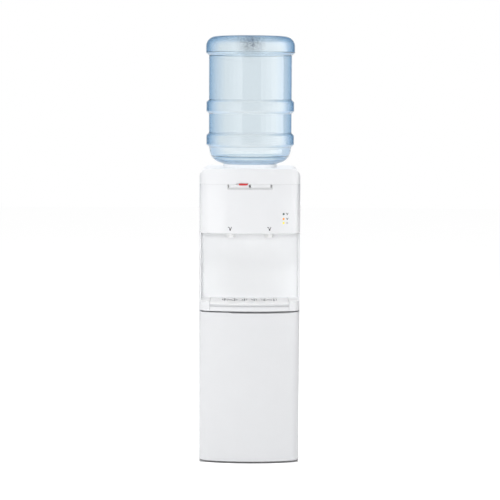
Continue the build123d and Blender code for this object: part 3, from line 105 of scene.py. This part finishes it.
class Nodes:
    """A material's node tree with short ways to add and join nodes."""

    def __init__(self, name):
        self.material = bpy.data.materials.new(name)
        self.material.use_nodes = True
        self.tree = self.material.node_tree
        self.shader = self.tree.nodes["Principled BSDF"]
        self.output = self.tree.nodes["Material Output"]
        self.place = self.add("ShaderNodeTexCoord").outputs["Object"]

    def add(self, kind, **values):
        node = self.tree.nodes.new(kind)
        for key, value in values.items():
            setattr(node, key, value)
        return node

    def join(self, source, target):
        self.tree.links.new(source, target)

    def split(self, vector):
        """The X, Y and Z of a vector."""
        parts = self.add("ShaderNodeSeparateXYZ")
        self.join(vector, parts.inputs["Vector"])
        return parts.outputs

    def away(self, point):
        """Distance from a point in the object's own coordinates."""
        node = self.add("ShaderNodeVectorMath", operation="DISTANCE")
        self.join(self.place, node.inputs[0])
        node.inputs[1].default_value = point
        return node.outputs["Value"]

    def noise(self, scale, detail=3.0):
        """Noise over the object's own coordinates, scale in cycles per metre."""
        noise = self.add("ShaderNodeTexNoise")
        noise.inputs["Scale"].default_value = scale
        noise.inputs["Detail"].default_value = detail
        self.join(self.place, noise.inputs["Vector"])
        return noise.outputs["Fac"]

    def ramp(self, source, low, high, start=NOISE_LOW, end=NOISE_HIGH):
        """A colour that runs from low to high as a value runs from start to end."""
        ramp = self.add("ShaderNodeValToRGB")
        ramp.color_ramp.elements[0].position = start
        ramp.color_ramp.elements[0].color = low
        ramp.color_ramp.elements[1].position = end
        ramp.color_ramp.elements[1].color = high
        self.join(source, ramp.inputs["Fac"])
        return ramp.outputs["Color"]

    def span(self, source, low, high, start=NOISE_LOW, end=NOISE_HIGH):
        """A number that runs from low to high as a value runs from start to end."""
        span = self.add("ShaderNodeMapRange")
        span.inputs["From Min"].default_value = start
        span.inputs["From Max"].default_value = end
        span.inputs["To Min"].default_value = low
        span.inputs["To Max"].default_value = high
        self.join(source, span.inputs["Value"])
        return span.outputs["Result"]

    def math(self, operation, first, second):
        node = self.add("ShaderNodeMath", operation=operation)
        for socket, value in zip(node.inputs, (first, second)):
            if isinstance(value, (int, float)):
                socket.default_value = value
            else:
                self.join(value, socket)
        return node.outputs["Value"]

    def bump(self, height, strength, distance):
        bump = self.add("ShaderNodeBump")
        bump.inputs["Strength"].default_value = strength
        bump.inputs["Distance"].default_value = distance
        self.join(height, bump.inputs["Height"])
        self.join(bump.outputs["Normal"], self.shader.inputs["Normal"])

    def grained(self, rough, grain, depth):
        """An uneven roughness between a pair of values, and a fine grain with its depth in metres."""
        self.join(self.span(self.noise(ROUGH_MOTTLE), *rough), self.shader.inputs["Roughness"])
        self.bump(self.noise(grain, GRAIN_DETAIL), GRAIN_STRENGTH, depth)


def mixed(tree, factor, low, high):
    """A colour in a node tree that goes from low to high with a factor."""
    mix = tree.nodes.new("ShaderNodeMix")
    mix.data_type = "RGBA"
    tree.links.new(factor, mix.inputs["Factor"])
    for name, value in (("A", low), ("B", high)):
        socket = next(s for s in mix.inputs if s.name == name and s.type == "RGBA")
        if isinstance(value, tuple):
            socket.default_value = value
        else:
            tree.links.new(value, socket)
    return next(s for s in mix.outputs if s.type == "RGBA")


def finish(name, colour, swing, rough, grain, depth, metallic=0.0):
    """A surface with a slightly varied colour and roughness and a fine grain."""
    made = Nodes(name)
    low = tuple(channel * (1 - swing) for channel in colour[:3]) + (1.0,)
    high = tuple(min(1.0, channel * (1 + swing)) for channel in colour[:3]) + (1.0,)
    made.join(made.ramp(made.noise(COLOUR_MOTTLE), low, high), made.shader.inputs["Base Color"])
    made.grained(rough, grain, depth)
    made.shader.inputs["Metallic"].default_value = metallic
    return made.material


# Finishes of the solid pieces: colour and its swing, a pair of roughnesses, the grain in cycles per metre
# and its depth in metres, and for the metals how metallic they are
FINISHES = {
    "white_satin": (linear(234, 235, 237), 0.006, (0.30, 0.36), 2200.0, 0.00003),
    "white_gloss": (linear(236, 237, 239), 0.004, (0.10, 0.14), 700.0, 0.000008),
    "white_steel": (linear(238, 239, 242), 0.006, (0.34, 0.42), 900.0, 0.00003),
    "white_door": (linear(229, 230, 232), 0.006, (0.30, 0.36), 2200.0, 0.00003),
    "liner": (linear(245, 246, 247), 0.008, (0.42, 0.5), 1500.0, 0.00003),
    "grille": (linear(252, 252, 252), 0.01, (0.4, 0.5), 1500.0, 0.00003),
    "grey_trim": (linear(208, 209, 210), 0.02, (0.3, 0.4), 1800.0, 0.00002),
    "red": (linear(205, 60, 62), 0.03, (0.25, 0.35), 1500.0, 0.00002),
    "zinc": (linear(196, 198, 200), 0.05, (0.35, 0.5), 400.0, 0.00004, 0.85),
    "stainless": (linear(205, 205, 203), 0.03, (0.22, 0.32), 900.0, 0.00002, 1.0),
    "aluminium": (linear(210, 212, 214), 0.03, (0.3, 0.4), 900.0, 0.00002, 1.0),
    "foam": (linear(228, 216, 178), 0.06, (0.8, 0.95), 350.0, 0.0006),
    "black_steel": (linear(38, 39, 41), 0.08, (0.38, 0.5), 900.0, 0.00004),
    "copper": (linear(200, 128, 92), 0.08, (0.25, 0.4), 500.0, 0.00003, 1.0),
    "rubber": (linear(34, 34, 35), 0.1, (0.65, 0.8), 1600.0, 0.00006),
    "gasket": (linear(196, 197, 198), 0.03, (0.6, 0.7), 1600.0, 0.00004),
    "silicone": (linear(226, 226, 222), 0.03, (0.4, 0.5), 800.0, 0.00003),
    "black_plastic": (linear(36, 37, 39), 0.08, (0.35, 0.45), 1500.0, 0.00003),
    "rocker_red": (linear(176, 36, 38), 0.05, (0.2, 0.3), 1500.0, 0.00002),
    "rocker_green": (linear(40, 128, 72), 0.05, (0.2, 0.3), 1500.0, 0.00002),
    "board": (linear(30, 92, 62), 0.12, (0.4, 0.55), 600.0, 0.00003),
    "cap_blue": (linear(70, 118, 178), 0.04, (0.35, 0.45), 1500.0, 0.00003),
    "ink": (linear(74, 70, 72), 0.06, (0.45, 0.55), 3000.0, 0.00001),
    "pale_ink": (linear(200, 200, 203), 0.03, (0.45, 0.55), 3000.0, 0.00001),
}
materials = {name: finish(name, *values) for name, values in FINISHES.items()}

# Drip tray, its colour painted with light and shade. A tilt is the upward part of a face's normal. The bowl's
# edge is a pair of heights in metres.
# Painted shade on faces that look down, such as under the lip, and a lighter painted shade on upright faces
TRAY_UNDER_PAINTED_SHADE = linear(222, 223, 225)
TRAY_SIDE_PAINTED_SHADE = linear(234, 235, 237)
# Painted shade in the bowl under the grille, and painted light on level faces
TRAY_BOWL_PAINTED_SHADE = linear(190, 191, 193)
TRAY_LEVEL_PAINTED_LIGHT = linear(253, 253, 253)
TRAY_ROUGH = (0.32, 0.4)
TRAY_GRAIN = 2000.0
TRAY_DEPTH = 0.00003
TILT_WAVER = 0.04
UNDER_SHADE_TO_SIDE_SHADE = (-0.45, -0.05)
SIDE_SHADE_TO_LEVEL_LIGHT = (0.15, 0.9)
BOWL_SHADE_EDGE = (0.485, 0.492)


def tray_painted_light_and_shade():
    """Grained white, with painted light on level faces, painted shade on upright faces, darker painted shade
    where a face looks down and painted shade in the bowl.
    """
    made = Nodes("white_tray_painted_light_and_shade")
    waver = made.span(made.noise(COLOUR_MOTTLE), -TILT_WAVER, TILT_WAVER)
    normal = made.split(made.add("ShaderNodeNewGeometry").outputs["Normal"])
    tilt = made.math("ADD", normal["Z"], waver)
    # Painted shade: greyer where a face looks down, as under the lip
    out_of_under_shade = made.span(tilt, 0.0, 1.0, *UNDER_SHADE_TO_SIDE_SHADE)
    side = made.ramp(out_of_under_shade, TRAY_UNDER_PAINTED_SHADE, TRAY_SIDE_PAINTED_SHADE, 0.0, 1.0)
    # Painted shade in the bowl below its edge
    above_painted_bowl_shade = made.span(made.split(made.place)["Z"], 0.0, 1.0, *BOWL_SHADE_EDGE)
    top = made.ramp(above_painted_bowl_shade, TRAY_BOWL_PAINTED_SHADE, TRAY_LEVEL_PAINTED_LIGHT, 0.0, 1.0)
    # Painted light on faces that look up
    level = made.span(tilt, 0.0, 1.0, *SIDE_SHADE_TO_LEVEL_LIGHT)
    made.join(mixed(made.tree, level, side, top), made.shader.inputs["Base Color"])
    made.grained(TRAY_ROUGH, TRAY_GRAIN, TRAY_DEPTH)
    return made.material


materials["white_tray_painted_light_and_shade"] = tray_painted_light_and_shade()

# Lenses of the three lamps: colour and glow
LENSES = {
    "led_green": (linear(52, 78, 68), 0.02),
    "led_orange": (linear(250, 158, 46), 0.4),
    "led_yellow": (linear(245, 226, 60), 0.4),
}
LENS_EDGE = 0.8  # colour at the rim, as a share of the middle's
LENS_MOTTLE = 900.0
LENS_ROUGH = (0.12, 0.2)


def lamp_lens(name, colour, glow):
    """A coloured lens, a little brighter in the middle and faintly lit."""
    made = Nodes(name)
    low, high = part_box(name)
    centre = (low + high) / 2
    radius = (high.x - low.x) / 2
    rim = tuple(channel * LENS_EDGE for channel in colour[:3]) + (1.0,)
    from_middle = made.away((centre.x, low.y, centre.z))
    made.join(made.ramp(from_middle, colour, rim, 0.0, radius), made.shader.inputs["Base Color"])
    made.join(made.span(made.noise(LENS_MOTTLE), *LENS_ROUGH), made.shader.inputs["Roughness"])
    made.shader.inputs["Emission Color"].default_value = colour
    made.shader.inputs["Emission Strength"].default_value = glow
    return made.material


for lens, values in LENSES.items():
    materials[lens] = lamp_lens(lens, *values)

DRESS = {
    "white_satin": ["top_cover", "hot_button", "cold_button"],
    "white_door": ["door_panel"],
    # The tray and its shelf have light and shade painted into their colour
    "white_tray_painted_light_and_shade": ["tray_shelf", "drip_tray"],
    "white_gloss": ["control_panel"],
    "white_steel": ["left_side_panel", "right_side_panel"],
    "liner": ["bottle_collar", "alcove_liner", "storage_liner", "door_liner", "well_funnel", "feed_probe"],
    "grille": ["drip_grille", "spouts"],
    "grey_trim": ["button_bezel"],
    "red": ["child_lock"],
    "zinc": [
        "base_pan",
        "back_panel",
        "deck",
        "tank_shelf",
        "hinge_brackets",
        "case_screws",
        "hot_tank_stand",
    ],
    "stainless": ["cold_tank", "hot_tank", "hinge_pins", "thermostats"],
    "aluminium": ["evaporator_jacket", "heater_band"],
    "foam": ["tank_foam"],
    "black_steel": ["compressor", "condenser_tube", "condenser_rack"],
    "copper": ["refrigerant_lines", "filter_drier"],
    "rubber": ["feet", "compressor_grommets", "drain_cap"],
    "gasket": ["door_gasket"],
    "silicone": ["water_hoses", "tank_tubes", "cold_tank_baffle", "cold_tank_lid"],
    "black_plastic": ["switch_housings", "cord_gland", "tap_valves", "hot_plunger", "cold_plunger"],
    "rocker_red": ["hot_rocker"],
    "rocker_green": ["cold_rocker"],
    "board": ["indicator_board"],
    "cap_blue": ["bottle_cap"],
    "led_green": ["led_green"],
    "led_orange": ["led_orange"],
    "led_yellow": ["led_yellow"],
}
for material, names in DRESS.items():
    for name in names:
        nodes[name].data.materials.clear()
        nodes[name].data.materials.append(materials[material])


def mesh_from(maker, name):
    """A mesh with the faces drawn so far, all turned outwards."""
    bmesh.ops.recalc_face_normals(maker, faces=maker.faces)
    mesh = bpy.data.meshes.new(name)
    maker.to_mesh(mesh)
    maker.free()
    return mesh


def new_piece(name, mesh, material, body):
    """A finished piece of the object that rides on a body."""
    piece = bpy.data.objects.new(name, mesh)
    scene.collection.objects.link(piece)
    mesh.materials.append(material)
    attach(piece, body)
    return piece


# Bottle, turned about its axis, in millimetres
BOTTLE_TOP = 1312.0
BOTTLE_WALL = 2.0
BOTTLE_SEGMENTS = 192
CROWN_RADIUS = 138.0
CROWN_BOTTOM = 1252.0
CROWN_ROUND = 30.0
CROWN_STEPS = 14
CROWN_DOME = 1.5
DOME_SHARES = (0.25, 0.5, 0.75)  # where the dome has points, as shares of its radius
CROWN_THICK = 2.0  # thicker plastic under the crown
BODY_RADIUS = 129.0
BAND_RADIUS = 136.5
BAND_TOPS = (1116.0, 1013.0)
BAND_HEIGHT = 44.0
BAND_SLOPE = 8.0
BAND_ROUND = 2.5
SHOULDER_RADIUS = 126.5
SHOULDER_TOP = 961.0
SHOULDER_ROUND = 41.0
SHOULDER_STEPS = 8
SHOULDER_SLOPE = math.radians(20.0)
BEAD_TURNS = (0.0, 0.45, 0.56, 1.0)  # thicker ring on the shoulder, as shares of its turn
BEAD_DEPTH = 3.5
NECK_RADIUS = 27.5
NECK_BOTTOM = 838.0
ON_AXIS = 1e-6  # a point nearer than this to the axis is on it


def rounded(points, radius, steps=6):
    """A run of points with its inner corners rounded."""
    run = [Vector(points[0])]
    for before, corner, after in zip(points, points[1:], points[2:]):
        corner = Vector(corner)
        to_before = (Vector(before) - corner).normalized()
        to_after = (Vector(after) - corner).normalized()
        half = to_before.angle(to_after) / 2
        room = min((Vector(before) - corner).length, (Vector(after) - corner).length) / 2
        reach = min(radius / math.tan(half), room)
        start = corner + to_before * reach
        end = corner + to_after * reach
        for step in range(steps + 1):
            share = step / steps
            run.append(start.lerp(corner, share).lerp(corner.lerp(end, share), share))
    run.append(Vector(points[-1]))
    return run


def arc(centre, radius, start, end, steps):
    """Points of an arc, its angles measured from level."""
    turns = [start + (end - start) * step / steps for step in range(steps + 1)]
    return [Vector((centre[0] + radius * math.cos(a), centre[1] + radius * math.sin(a))) for a in turns]


def bottle_profile(drawn_in):
    """Half section of the bottle from its crown to its mouth, drawn in by a wall."""
    crown = CROWN_RADIUS - drawn_in
    body = BODY_RADIUS - drawn_in
    band = BAND_RADIUS - drawn_in
    neck = NECK_RADIUS - drawn_in
    turn = CROWN_ROUND - drawn_in
    top = BOTTLE_TOP - drawn_in
    flat = crown - turn
    run = [Vector((0.0, top))]
    run += [Vector((flat * share, top - CROWN_DOME * share**2)) for share in DOME_SHARES]
    run += arc((flat, top - CROWN_DOME - turn), turn, math.pi / 2, 0.0, CROWN_STEPS)
    step = CROWN_BOTTOM + CROWN_THICK * (drawn_in > 0)
    side = [(crown, top - CROWN_DOME - turn), (crown, step + BAND_SLOPE), (body, step)]
    for level in BAND_TOPS:
        side += [
            (body, level),
            (band, level - BAND_SLOPE),
            (band, level - BAND_HEIGHT + BAND_SLOPE),
            (body, level - BAND_HEIGHT),
        ]
    side.append((SHOULDER_RADIUS - drawn_in, SHOULDER_TOP))
    run += rounded(side, BAND_ROUND)[1:]
    cone = -(math.pi / 2 - SHOULDER_SLOPE)
    shoulder = (SHOULDER_RADIUS - SHOULDER_ROUND, SHOULDER_TOP)
    bead = BEAD_DEPTH if drawn_in else 0.0
    for number, depth in enumerate((0.0, bead, 0.0)):
        start = BEAD_TURNS[number] * cone
        end = BEAD_TURNS[number + 1] * cone
        run += arc(shoulder, SHOULDER_ROUND - drawn_in - depth, start, end, SHOULDER_STEPS)[1:]
    last = run[-1]
    neck_top = last.y - (last.x - neck) * math.tan(SHOULDER_SLOPE)
    run += rounded([last, (neck, neck_top), (neck, NECK_BOTTOM)], BAND_ROUND)[1:]
    return run


def turned(name, profile, segments):
    """A mesh turned about the Z axis from a closed half section in millimetres."""
    maker = bmesh.new()
    rings = []
    for point in profile:
        radius = point.x * MM
        height = point.y * MM
        if point.x < ON_AXIS:
            rings.append([maker.verts.new((0, 0, height))])
            continue
        ring = []
        for number in range(segments):
            angle = 2 * math.pi * number / segments
            ring.append(maker.verts.new((radius * math.cos(angle), radius * math.sin(angle), height)))
        rings.append(ring)
    for ring, after in zip(rings, rings[1:]):
        for number in range(segments):
            following = (number + 1) % segments
            if len(ring) == 1:
                maker.faces.new((ring[0], after[number], after[following]))
            elif len(after) == 1:
                maker.faces.new((ring[number], after[0], ring[following]))
            else:
                maker.faces.new((ring[number], after[number], after[following], ring[following]))
    mesh = mesh_from(maker, name)
    mesh.shade_smooth()
    return mesh


# Plastic of the bottle. Slants are pairs of values between face on, 0, and edge on, 1.
# Grains are in cycles per metre, and the frost's depth is in metres.
FACE_ON = (0.97, 0.97, 0.965, 1.0)
CLEAR_EDGE = (0.40, 0.60, 0.84, 1.0)
CLEAR_SLANTS = (0.2, 0.85)
CLEAR_ROUGH = 0.015
FROST_EDGE = (0.28, 0.60, 1.0, 1.0)
FROST_SLANTS = (0.28, 0.82)
FROST_ROUGH = (0.08, 0.2)
FROST_MARGIN = 3.0  # clear strip left at the ends of the crown and the bands, in millimetres
FROST_GRAIN = 420.0
FROST_DETAIL = 4.0
FROST_STRENGTH = 0.3
FROST_DEPTH = 0.0005
PLASTIC_IOR = 1.58
WALL_COLOUR = (0.16, 0.50, 0.70, 1.0)
WALL_DENSITY = 85.0

# Dark specks in a round patch on the front of the crown, its sizes in millimetres
SPECK_HEIGHT = 1288.0
SPECK_CORE = 10.0
SPECK_REACH = 52.0
SPECK_GRAIN = 520.0
SPECK_DETAIL = 2.0
SPECK_CUT = (0.5, 0.57)
SPECK_COLOUR = (0.10, 0.12, 0.16, 1.0)


def bottle_plastic():
    """Clear blue plastic, deeper in colour edge on, frosted on the crown and the two bands."""
    made = Nodes("bottle_plastic")
    level = made.split(made.place)["Z"]
    frost = made.math("GREATER_THAN", level, (CROWN_BOTTOM + FROST_MARGIN) * MM)
    for top in BAND_TOPS:
        above = made.math("GREATER_THAN", level, (top - BAND_HEIGHT + FROST_MARGIN) * MM)
        below = made.math("LESS_THAN", level, (top - FROST_MARGIN) * MM)
        frost = made.math("MAXIMUM", frost, made.math("MULTIPLY", above, below))
    grain = made.noise(FROST_GRAIN, FROST_DETAIL)
    frosted = made.math("MULTIPLY", frost, made.span(grain, *FROST_ROUGH))
    made.join(made.math("MAXIMUM", frosted, CLEAR_ROUGH), made.shader.inputs["Roughness"])
    made.bump(made.math("MULTIPLY", grain, frost), FROST_STRENGTH, FROST_DEPTH)

    slant = made.add("ShaderNodeLayerWeight")
    slant.inputs["Blend"].default_value = 0.5
    clear = made.ramp(slant.outputs["Facing"], FACE_ON, CLEAR_EDGE, *CLEAR_SLANTS)
    satin = made.ramp(slant.outputs["Facing"], FACE_ON, FROST_EDGE, *FROST_SLANTS)
    tint = mixed(made.tree, frost, clear, satin)

    from_patch = made.away((0.0, -CROWN_RADIUS * MM, SPECK_HEIGHT * MM))
    patch = made.span(from_patch, 1.0, 0.0, SPECK_CORE * MM, SPECK_REACH * MM)
    dots = made.span(made.noise(SPECK_GRAIN, SPECK_DETAIL), 0.0, 1.0, *SPECK_CUT)
    specks = made.math("MULTIPLY", patch, dots)
    made.join(mixed(made.tree, specks, tint, SPECK_COLOUR), made.shader.inputs["Base Color"])

    made.shader.inputs["Transmission Weight"].default_value = 1.0
    made.shader.inputs["IOR"].default_value = PLASTIC_IOR
    wall = made.add("ShaderNodeVolumeAbsorption")
    wall.inputs["Color"].default_value = WALL_COLOUR
    wall.inputs["Density"].default_value = WALL_DENSITY
    made.join(wall.outputs["Volume"], made.output.inputs["Volume"])
    return made.material


outer_side = bottle_profile(0.0)
inner_side = bottle_profile(BOTTLE_WALL)
shell = turned("bottle_shell", outer_side + inner_side[::-1], BOTTLE_SEGMENTS)
bottle = new_piece("bottle_shell", shell, bottle_plastic(), "bottle")
bottle.visible_shadow = False
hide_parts("water_bottle")


# Printed marks on the control panel, in millimetres
INK_PROUD = 0.12
INK_SUNK = 0.2
MARK_X = 60.0
MARK_Z = 724.9
MARK_SIZE = 12.5
LAMP_MARK_X = 114.0
LAMP_MARK_SIZE = 7.6


def printed(name, strokes, x, z, size, material):
    """Flat strokes, drawn on a unit square, printed on the bowed panel round a point."""
    maker = bmesh.new()
    for stroke in strokes:
        faces = []
        for lift in (-INK_PROUD, INK_SUNK):
            ring = []
            for across, up in stroke:
                place = x + across * size
                depth = panel_y(place) + lift
                ring.append(maker.verts.new((place * MM, depth * MM, (z + up * size) * MM)))
            faces.append(ring)
        front, back = faces
        maker.faces.new(front)
        maker.faces.new(back[::-1])
        count = len(front)
        for number in range(count):
            following = (number + 1) % count
            maker.faces.new((front[following], front[number], back[number], back[following]))
    new_piece(name, mesh_from(maker, name), materials[material], "cabinet")


def disc(x, z, radius, count=16):
    """Corner points of a small disc."""
    turns = [2 * math.pi * number / count for number in range(count)]
    return [(x + radius * math.cos(turn), z + radius * math.sin(turn)) for turn in turns]


CUP = [
    [(-0.30, 0.34), (-0.14, 0.34), (0.06, -0.20), (-0.02, -0.42)],
    [(0.46, 0.42), (0.30, 0.42), (0.02, -0.20), (0.10, -0.42)],
    disc(0.04, -0.30, 0.2),
    disc(-0.42, 0.30, 0.11),
]
DRIP = [
    [(-0.46, 0.44), (-0.20, 0.44), (0.08, -0.24), (-0.02, -0.46)],
    [(0.50, 0.44), (0.24, 0.44), (-0.02, -0.24), (0.08, -0.46)],
    disc(0.03, -0.26, 0.17),
]
DOT = [disc(0.0, 0.0, 0.42)]
LAMP_MARKS = (
    ("heating_mark", "led_green", DRIP, "ink"),
    ("cooling_mark", "led_orange", DRIP, "ink"),
    ("power_mark", "led_yellow", DOT, "pale_ink"),
)
printed("hot_mark", CUP, -MARK_X, MARK_Z, MARK_SIZE, "ink")
printed("cold_mark", CUP, MARK_X, MARK_Z, MARK_SIZE, "ink")
for mark, lens, strokes, material in LAMP_MARKS:
    low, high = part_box(lens)
    printed(mark, strokes, LAMP_MARK_X, (low.z + high.z) / 2 / MM, LAMP_MARK_SIZE, material)

# Floor, which shows white and keeps the object's shadow
FLOOR_HALF = 12.0
FLOOR_LOW = linear(216, 216, 216)
FLOOR_HIGH = linear(219, 219, 219)
FLOOR_MOTTLE = 3.0
FLOOR_ROUGH = 0.9
FLOOR_LIFT = 0.86
LIFT_EDGE = (-0.003, 0.004)  # the lift ends between these distances inside the object's outline
WHITE_LIGHT = (1.0, 1.0, 1.0, 1.0)

floor_mesh = bpy.data.meshes.new("floor")
floor_mesh.from_pydata(
    [(x * FLOOR_HALF, y * FLOOR_HALF, 0) for x, y in ((-1, -1), (1, -1), (1, 1), (-1, 1))],
    [],
    [(0, 1, 2, 3)],
)
floor = bpy.data.objects.new("floor", floor_mesh)
scene.collection.objects.link(floor)
ground = Nodes("floor")
paper = ground.ramp(ground.noise(FLOOR_MOTTLE), FLOOR_LOW, FLOOR_HIGH)
ground.join(paper, ground.shader.inputs["Base Color"])
ground.shader.inputs["Roughness"].default_value = FLOOR_ROUGH
ground.shader.inputs["Specular IOR Level"].default_value = 0.0
ground.shader.inputs["Emission Color"].default_value = WHITE_LIGHT

# The lift makes the floor white for rays that see it. It stops under the object, where the shadow stays dark.
floor_rays = ground.add("ShaderNodeLightPath").outputs
seen = ground.math("MAXIMUM", floor_rays["Is Camera Ray"], floor_rays["Is Glossy Ray"])
seen = ground.math("MAXIMUM", seen, floor_rays["Is Transmission Ray"])
spot = ground.split(ground.place)
bow = ground.math("MULTIPLY", spot["X"], spot["X"])
bow = ground.math("MULTIPLY", bow, 1 / (2 * FRONT_RADIUS * MM))
behind_front = ground.math("SUBTRACT", spot["Y"], ground.math("ADD", bow, FRONT_Y * MM))
under = ground.math("SUBTRACT", HALF_WIDTH * MM, ground.math("ABSOLUTE", spot["X"], 0.0))
under = ground.math("MINIMUM", under, behind_front)
under = ground.math("MINIMUM", under, ground.math("SUBTRACT", BACK_Y * MM, spot["Y"]))
open_floor = ground.span(under, FLOOR_LIFT, 0.0, *LIFT_EDGE)
ground.join(ground.math("MULTIPLY", seen, open_floor), ground.shader.inputs["Emission Strength"])
floor_mesh.materials.append(ground.material)

# World: white where it is seen, also through the bottle. Mirror rays meet a white backdrop behind the object
# and a dimmer room elsewhere, and the rest of the light is softer.
AMBIENT = (0.18, 0.18, 0.18, 1.0)
ROOM = (0.10, 0.18, 0.28, 1.0)
BACKDROP_EDGE = math.cos(math.radians(24.0))
BACKDROP_FULL = math.cos(math.radians(9.0))

world = bpy.data.worlds.new("studio")
scene.world = world
world.use_nodes = True
air = world.node_tree
direction = air.nodes.new("ShaderNodeSeparateXYZ")
air.links.new(air.nodes.new("ShaderNodeTexCoord").outputs["Generated"], direction.inputs["Vector"])
ahead = air.nodes.new("ShaderNodeMapRange")
ahead.inputs["From Min"].default_value = BACKDROP_EDGE
ahead.inputs["From Max"].default_value = BACKDROP_FULL
air.links.new(direction.outputs["Y"], ahead.inputs["Value"])
air_rays = air.nodes.new("ShaderNodeLightPath").outputs
straight = air.nodes.new("ShaderNodeMath")
straight.operation = "MAXIMUM"
air.links.new(air_rays["Is Camera Ray"], straight.inputs[0])
air.links.new(air_rays["Is Transmission Ray"], straight.inputs[1])
in_mirrors = mixed(air, ahead.outputs["Result"], ROOM, WHITE_LIGHT)
unseen = mixed(air, air_rays["Is Glossy Ray"], AMBIENT, in_mirrors)
light = mixed(air, straight.outputs["Value"], unseen, WHITE_LIGHT)
air.links.new(light, air.nodes["Background"].inputs["Color"])


def softbox(name, turn, distance, height, aim, size, radiance, card=False):
    """A rectangular lamp of an even brightness, aimed at a height on the object's axis.

    Its turn is in degrees from straight ahead, right being positive. A card only shows in mirrored light, and
    any other lamp gives light without being mirrored. None is seen through the bottle, which it would bleach.
    """
    data = bpy.data.lights.new(name, "AREA")
    data.shape = "RECTANGLE"
    data.size, data.size_y = size
    data.energy = radiance * math.pi * size[0] * size[1]
    lamp = bpy.data.objects.new(name, data)
    scene.collection.objects.link(lamp)
    angle = math.radians(turn)
    lamp.location = (distance * math.sin(angle), -distance * math.cos(angle), height)
    lamp.rotation_euler = (Vector((0.0, 0.0, aim)) - lamp.location).to_track_quat("-Z", "Y").to_euler()
    lamp.visible_glossy = card
    lamp.visible_diffuse = not card
    lamp.visible_transmission = False


# Tall cards of upright strips, whose brightness changes from one side of the card to the other:
# name, turn of the inner side and width of a strip in degrees, and the strips' levels
CARD_DISTANCE = 2.2
CARD_HEIGHT = 2.3
CARD_MIDDLE = 1.35
CARD_AIM = 1.2
CARDS = (
    ("left_card", -21.0, -12.8, (1.4, 1.1, 0.6, 0.2, 0.05)),
    ("right_card", 28.0, 14.8, (1.0, 1.6, 2.4, 2.8, 2.6)),
)
for name, start, step, levels in CARDS:
    width = 2 * CARD_DISTANCE * math.tan(math.radians(abs(step) / 2))
    for number, level in enumerate(levels):
        turn = start + step * (number + 0.5)
        strip = f"{name}_{number + 1}"
        softbox(strip, turn, CARD_DISTANCE, CARD_MIDDLE, CARD_AIM, (width, CARD_HEIGHT), level, card=True)

# Lamps: name, turn, distance, height, height aimed at, size and radiance
LAMPS = (
    ("front_left", -6.0, 4.2, 1.15, 0.8, (0.4, 1.0), 36.0),
    ("front_right", 6.0, 4.2, 1.15, 0.8, (0.4, 1.0), 21.0),
    ("high_box", -8.0, 2.6, 3.4, 0.6, (2.0, 1.4), 3.8),
    ("left_fill", -91.0, 2.5, 1.1, 1.0, (1.5, 2.0), 2.2),
    ("right_fill", 91.0, 2.5, 1.1, 1.0, (1.5, 2.0), 1.1),
    ("top_box", 180.0, 0.4, 3.2, 0.9, (2.4, 2.4), 3.8),
)
for lamp in LAMPS:
    softbox(*lamp)
